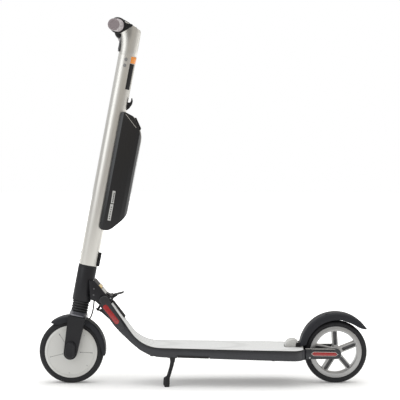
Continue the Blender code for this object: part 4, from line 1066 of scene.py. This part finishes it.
# %% Rear arms and reflectors
ARM = [(314.3, 80.8), (400, 81.2)] + arc((406, 97), 16, -78, 78, 16) + [(400, 113), (314.3, 112.2)]
LENS = [(331, 97.6), (338, 92.2), (404, 91.0), (411, 95.8), (404, 101.4), (338, 102.8)]
FRAME = [(329, 97.6), (337.4, 90.9), (404.4, 89.7), (413, 95.8), (404.4, 102.7), (337.4, 104.1)]
SECTION = [(37, 78), (47.4, 78), (49.2, 78.8), (50, 80.6), (50, 111.2), (49.4, 112.7), (47.9, 113.4), (37, 113.4)]
for side, word in ((-1, "left"), (1, "right")):
    arm = plate(f"axle_arm_{word}", ARM, *sorted((37 * side, 50 * side)))
    section = pull("arm_section", [[(x, y * side, z) for y, z in SECTION] for x in (310, 426)])
    carve(arm, section, "INTERSECT")
    seat = lathe("nut_seat", [(0, 30 * side), (9, 30 * side), (9, 47.5 * side), (0, 47.5 * side)], steps=48)
    carve(arm, put(seat, AT_REAR))
    fit(soften(arm, 1.2, 3, 44), "deck", graphite, "graphite_aluminium", "rear_arm_" + word)
    frame_plate = plate(f"rear_reflector_frame_{word}", FRAME, *sorted((49.9 * side, 50.7 * side)))
    fit(soften(frame_plate, 0.3), "deck", sticker, "grey_silicone")
    lens = plate(f"rear_reflector_{word}_lens", LENS, *sorted((50.2 * side, 51.5 * side)))
    fit(soften(lens, 0.5), "deck", red_lens, "red_lens", "rear_reflector_" + word)
    glint = lathe(f"arm_screw_{word}", [(0, -1.6), (2.4, -1.6), (3.1, -0.6), (3.1, 1), (0, 1)], steps=32)
    if side > 0:
        put(glint, Matrix.Rotation(math.pi, 4, "Z"))
    fit(put(soften(glint, 0), Matrix.Translation((325.5 * MM, 49.6 * side * MM, 85.2 * MM))), "deck", steel,
        "steel")

# %% [markdown]
# The tail light is a thin red lens fixed under the mudguard's top, close to its tip. The wall above hides it from the
# sides, so it shows only from behind and below. It is a slice of a ring, drawn between two arcs.

# %% Tail light
lens = plate("tail_light_lens", arc(FENDER_CENTRE, 110.6, 60, 51, 12) + arc(FENDER_CENTRE, 108, 51, 60, 12), -18,
    18)
fit(soften(lens, 0.4), "fender", red_lens, "red_lens", "tail_light")


# %% [markdown]
# ## Deck and neck
# The frame is one long extrusion, bent up into the neck at the front. Its sides are gently rounded, with a dark line
# under the mat: a black band along the top of the sides, painted shade that stands in for the darker top of the sides.

# %% Deck frame
deck = dress("deck_frame", 2.2, 3, 50)
fit(deck, "deck", graphite, "graphite_aluminium", "deck_frame")

# %% [markdown]
# The mat is moulded silicone with a crown, so that water runs off it: it stands higher along the middle than at its
# edges. It is a row of flat sections set square to the deck's line. A black band wraps its edge, painted shade for the
# darker top of the frame's sides.

# %% Deck mat and the painted shade along its edge
PLAN = ((-345, 42), (-240, 43), (-216, 49.5), (-190, 58.5), (-160, 68), (-131, 75.5), (-60, 80), (40, 84.5), (150,
    87.8), (250, 89), (278, 87), (294, 78), (304, 62), (314, 50))


def half_width(x):
    for (x0, w0), (x1, w1) in zip(PLAN, PLAN[1:]):
        if x <= x1:
            return w0 + (w1 - w0) * max(0.0, (x - x0) / (x1 - x0))
    return PLAN[-1][1]


def upper_line(rise, start, stations):
    """The frame's upper line raised by rise: a place on the neck, the bend and places along the deck."""
    flat = math.atan(-0.018496)
    bend = 110.0
    reach = bend * math.tan((NECK_SLOPE + flat) / 2)
    bend_end = Vector((-194.2, 118.6)) + Vector((math.cos(flat), math.sin(flat))) * reach
    middle = bend_end + Vector((-math.sin(flat), math.cos(flat))) * bend
    curve = arc(middle, bend - rise, 270 - math.degrees(NECK_SLOPE), 270 + math.degrees(flat), 28)
    return [neck(t, -9.5 + rise) for t in start] + curve + [(x, deck_top(x) + rise) for x in stations]


NECK_STATIONS = (15.4, 30, 45, 60, 75, 90, 105)
DECK_STATIONS = (-120, -90, -60, -20, 40, 100, 150, 200, 250, 264, 278, 286, 294, 299, 304, 305.6)
foot = upper_line(0.3, NECK_STATIONS, DECK_STATIONS)
surface = upper_line(2.3, NECK_STATIONS, DECK_STATIONS)
rings = []
for (x0, z0), (x1, z1) in zip(foot, surface):
    w = half_width(x1) - 2.2
    up = Vector((x1 - x0, z1 - z0)).normalized()
    steep = min(1.0, max(0.0, (-130 - x1) / 60))
    crown_height = 2.2 + 2.6 * steep * min(1.0, max(0.25, (x1 + 275) / 45))
    ring = [(x0, -w, z0), (x0, w, z0), (x1 - up.x * 0.5, w, z1 - up.y * 0.5)]
    for i in range(15):
        y = (w - 0.5) * math.cos(math.pi * i / 14)
        rise = crown_height * (1 - (y / w) ** 2)
        ring.append((x1 + up.x * rise, y, z1 + up.y * rise))
    ring.append((x1 - up.x * 0.5, -w, z1 - up.y * 0.5))
    rings.append(ring)
mat = pull("deck_mat_crowned", rings)
carve(mat, column("hinge_space", [(250, -27), (330, -27), (330, 27), (250, 27)], 90, 140))
fit(soften(mat, 0, angle=40), "deck", silicone, "grey_silicone", "deck_mat")

# The black band round the mat's edge is painted shade: it stands in for the darker top of the frame's sides.
outer = upper_line(2.45, (0, 15, 60, 105), (-120, -60, 40, 150, 250, 278, 294, 304, 313))
inner = upper_line(-2.6, (0, 15, 60, 105), (-120, -60, 40, 150, 250, 278, 294, 304, 313))
rim = plate("deck_edge_painted_shade", outer + inner[::-1], -95, 95)
PLACES = (-290, -240, -216, -190, -160, -131, -60, 40, 150, 250, 278, 294, 304, 307)
edge = [(x, half_width(x) + 0.15) for x in PLACES]
carve(rim, column("shade_band_outside", edge + [(x, -y) for x, y in edge[::-1]], 40, 300), "INTERSECT")
edge = [(x, half_width(x) - 2.1) for x in (-340,) + PLACES[1:-1]]
carve(rim, column("shade_band_inside", edge + [(330, edge[-1][1]), (330, -edge[-1][1])] + [(x, -y) for x, y in edge[::-1]],
    30, 310))
fit(soften(rim, 0.5, 2, 50), "deck", black_rubber_and_shade, "grip_rubber")

# %% [markdown]
# The neck's sides carry plastic covers with round tops and a bevelled rim, and a red reflector shaped like a pill lies
# in each. A black rubber strip lies along the middle of the neck's upper face.

# %% Neck covers and reflectors
COVER = [neck(*p) for p in arc((-3.5, -19.6), 16.4, 60, 230, 20)]
COVER += [neck(*p) for p in ((40, -37), (88, -34), (100, -26), (98, -14), (60, -10.5))]
PILL_ENDS = ((13.0, -27.2), (69.0, -24.6))
def pill(radius):
    return [neck(*p) for p in arc(PILL_ENDS[0], radius, 93, 267, 16) + arc(PILL_ENDS[1], radius, -87, 87, 16)]


for side, word in ((-1, "left"), (1, "right")):
    panel = plate(f"neck_side_cover_{word}", COVER, *sorted((42.9 * side, 47.0 * side)))
    soften(panel, 2.0, 4, 30)
    recess = plate("recess", pill(8.3), *sorted((46.2 * side, 49 * side)))
    fit(soften(carve(panel, recess), 0, angle=40), "deck", cover_gloss, "black_plastic", "neck_cover_" + word)
    lens = plate(f"neck_reflector_{word}_lens", pill(7.6), *sorted((45.5 * side, 47.3 * side)))
    fit(soften(lens, 0.9, 3), "deck", red_lens, "red_lens", "neck_reflector_" + word)

# %% [markdown]
# The strip stands on the mat and grows a little higher towards its lower end.

# %% Strip on the neck
strip = plate("neck_rubber_strip", [neck(11, -8), neck(74.6, -8), neck(74.6, 1.6), neck(72, 2.2), neck(16, -0.8),
    neck(11, -4.2)], -12, 12)
fit(soften(strip, 0.7, 2, 40), "deck", black_rubber_and_shade, "grip_rubber")

# %% [markdown]
# The neck casting holds the head tube and ends at the fold hinge. Its edges are broken where the mould left them
# sharp, and a pale trim strip runs down the back of it above a small amber tab.

# %% Neck casting and its trims
fit(dress("neck_casting", 0.9, 2, 35), "neck", powder, "black_paint", "neck_casting")

trim = plate("neck_pale_trim", [neck(-75, -15.0), neck(-55, -11.5), neck(-55.3, -9.2), neck(-75.6, -12.6)], -30, 30)
fit(soften(trim, 0.5), "neck", sticker, "grey_silicone")
tab = plate("neck_amber_tab", [neck(-54, -11.4), neck(-40, -9.0), neck(-40.8, -3.8), neck(-51.6, -5.6)], -26, 26)
fit(soften(tab, 0.8), "neck", amber_pale, "red_lens")
trim = plate("neck_pale_edge", [neck(-38, -8.9), neck(-19, -5.8), neck(-19.2, -4.0), neck(-38.2, -6.8)], -30, 30)
fit(soften(trim, 0.4), "neck", sticker, "grey_silicone")
for index, (t, n) in enumerate(((-53, -25), (-38, -37))):
    for side, word in ((-1, "left"), (1, "right")):
        screw = lathe(f"neck_screw_{index}_{word}", [(r, a * side) for r, a in ((0, 35.4), (2.6, 35.4), (2.6, 36.3),
            (2.1, 36.6), (1.2, 36.6), (1.0, 36.2), (0, 36.2))], steps=24)
        x, z = neck(t, n)
        put(screw, Matrix.Translation((x * MM, 0, z * MM)))
        fit(soften(screw, 0), "neck", dark_metal_and_shade, "steel")

# %% [markdown]
# The fold joint turns on a steel pin with black heads. A pedal above it pulls the hook out of the casting's lugs.

# %% Fold hinge
PIN = [(0, -37), (5.6, -37), (6.8, -36.2), (7, -35.4), (7, -31.3), (4, -31.3), (4, 31.3), (7, 31.3), (7, 35.4),
    (6.8, 36.2), (5.6, 37), (0, 37)]
AT_PIN = Matrix.Translation(Vector(FOLD_PIN) * MM)
fit(put(soften(lathe("fold_pin_black_heads", PIN, steps=48), 0), AT_PIN), "deck", powder, "steel", "fold_hinge_pin")
DOTS = [(0, 36.8), (2.4, 36.8), (2.4, 37.6), (1.8, 37.9), (0, 37.9)]
dots = [lathe("dot", [(r, a * side) for r, a in DOTS], steps=24) for side in (-1, 1)]
fit(put(soften(together("fold_pin_centres", dots), 0), AT_PIN), "deck", steel, "steel")
fit(dress("fold_pedal", 0.6, 2, 35), "pedal", grained, "black_plastic", "fold_pedal")
fit(dress("latch_hook", 0.5, 2, 35), "hook", powder, "steel", "latch_hook")

# %% [markdown]
# The headset's bellows keep dirt out of the front suspension. They are turned with four round ribs.

# %% Bellows
LOW, HIGH, RIBS = 126.4, 159.6, 4
pitch = (HIGH - LOW) / RIBS
wave = [(20.4, HIGH), (20.4, LOW), (23.6, LOW)]
for rib in range(RIBS):
    for i in range(1, 9):
        share = i / 8
        wave.append((23.0 + 3.0 * math.sin(math.pi * share) ** 0.8, LOW + pitch * (rib + share)))
bellows = soften(lathe("suspension_bellows_ribbed", wave, "Z", 72), 0, angle=60)


def between(piece, finish, node):
    """Like fit, for a piece that gives between two bodies, but it is hung on no body: it gets its finish, its placement
    is baked into its mesh and the imported part is hidden.
    """
    piece.data.materials.clear()
    piece.data.materials.append(finish)
    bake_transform(piece)
    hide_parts(node)
    made.append(piece.name)


between(on_stem(bellows), black_rubber_and_shade, "suspension_bellows")
spring = dress("suspension_spring", 0)
between(spring, steel, "suspension_spring")

# %% [markdown]
# The motor's cable leaves the neck casting, hangs in a slack loop and enters the back of the fork crown. The real cable
# follows the steering at its lower end and the neck at its upper end; the piece here is one fixed shape on no body.

# %% Motor cable
CABLE_RADIUS = 2.2
ROUTE = (
    (-340, 0, 262), (-340, -1, 252), (-340.6, -8, 240), (-341.8, -19, 228), (-344.2, -28.5, 217), (-347.6, -33,
        208.4),
    (-351.4, -34.6, 203.4), (-355, -35, 201.2), (-360.5, -35.2, 200.6),
)


def smooth(points, steps=6):
    """A curve through the points."""
    curve = []
    for i in range(len(points) - 1):
        a, b, c, d = (Vector(points[max(0, min(len(points) - 1, i + k))]) for k in (-1, 0, 1, 2))
        for s in range(steps):
            f = s / steps
            bend = (2 * a - 5 * b + 4 * c - d) * f ** 2 + (3 * b - a - 3 * c + d) * f ** 3
            curve.append(0.5 * (2 * b + (c - a) * f + bend))
    return curve + [Vector(points[-1])]


line = smooth(ROUTE)
rings = []
for i, p in enumerate(line):
    ahead = (line[min(i + 1, len(line) - 1)] - line[max(i - 1, 0)]).normalized()
    side = ahead.cross(Vector((0, 1, 0))).normalized()
    rise = side.cross(ahead)
    turn = [math.tau * k / 16 for k in range(16)]
    rings.append([tuple(p + (side * math.cos(a) + rise * math.sin(a)) * CABLE_RADIUS) for a in turn])
cable = soften(pull("motor_cable_sheath", rings), 0, angle=60)
between(cable, black_rubber_and_shade, "motor_cable")

# %% [markdown]
# ## Small parts of the deck
# The pale arch over the mudguard's hinge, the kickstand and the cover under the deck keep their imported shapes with
# their edges broken.

# %% Hinge cover, kickstand, underside
fit(dress("fender_hinge_cover", 0.8, 2, 50), "deck", sticker, "grey_silicone", "fender_hinge_cover")
fit(dress("kickstand_leg", 1.0, 2, 50), "kickstand", powder, "black_paint", "kickstand_leg")
fit(dress("kickstand_bracket", 0.8, 2, 50), "deck", grained, "black_plastic", "kickstand_bracket")
fit(dress("underside_cover", 0.5, 2, 50), "deck", grained, "black_plastic", "underside_cover")
fit(dress("charge_port_cap", 0.5, 2, 50), "charge_cap", black_rubber_and_shade, "black_plastic", "charge_port_cap")
shade = plate("kickstand_recess_shade", [(-80, 89.2), (16, 86.2), (16, 93), (-80, 96)], -70.4, -69.2)
fit(soften(shade, 0), "deck", black_rubber_and_shade, "black_plastic")

# %% [markdown]
# The frame's belly deepens under the bend, where the load is greatest. It is a web in the same graphite finish, cut to
# the frame's plan. Two corner blocks close the frame's rear corners against the axle arms.

# %% Belly and rear corners
BELLY = [(-262, 170.5), (-250, 156), (-222, 130), (-195, 110), (-168, 97), (-142, 91.6), (-121, 90.6), (-100, 90.2),
    (-100, 94), (-142, 99), (-168, 107), (-195, 120), (-222, 137), (-250, 160)]
belly = plate("deck_bend_belly", BELLY, -95, 95)
edge = [(x, half_width(x) - 0.3) for x in (-290, -240, -216, -190, -160, -131, -90)]
carve(belly, column("belly_plan", edge + [(x, -y) for x, y in edge[::-1]], 40, 300), "INTERSECT")
fit(soften(belly, 2.0, 3, 50), "deck", graphite, "graphite_aluminium")

for side, word in ((-1, "left"), (1, "right")):
    corner = [(296, 50), (296, 68), (304, 66.4), (309.5, 61), (311.2, 50)]
    block = column(f"deck_rear_corner_{word}", [(x, y * side) for x, y in corner][::side], 81.5, 110.8)
    fit(soften(block, 1.0, 3, 50), "deck", graphite, "graphite_aluminium")
    # A thin silver strip along each arm's top edge is a painted highlight, standing in for the light that the arm's
    # rounded top catches.
    line = plate(f"arm_top_painted_highlight_{word}", [(312, 112.4), (404, 111.0), (404, 112.2), (312, 113.6)],
        *sorted((46.5 * side, 50.2 * side)))
    fit(soften(line, 0.3), "deck", anodised, "silver_aluminium")

# %% [markdown]
# ## The rest
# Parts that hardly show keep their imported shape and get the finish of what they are.

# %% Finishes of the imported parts
FINISH_OF_SLOT = {
    "silver_aluminium": anodised, "black_plastic": grained, "black_paint": powder, "graphite_aluminium": graphite,
    "grey_silicone": silicone, "grip_rubber": grip_rubber, "tyre_rubber": tyre_rubber, "pale_cover": motor_paint,
    "rim_aluminium": cast, "red_lens": red_lens, "clear_lens": lamp_lens, "steel": steel,
    "battery_wrap": shrink_wrap, "black_glass": smoked,
}
for part in frame["record"]["subparts"]:
    mesh = frame["nodes"][part["node"]].data
    mesh.materials.clear()
    mesh.materials.append(FINISH_OF_SLOT[part["material_slot"]])
print("new pieces:", len(made), "packed parts:", len(frame["nodes"]))
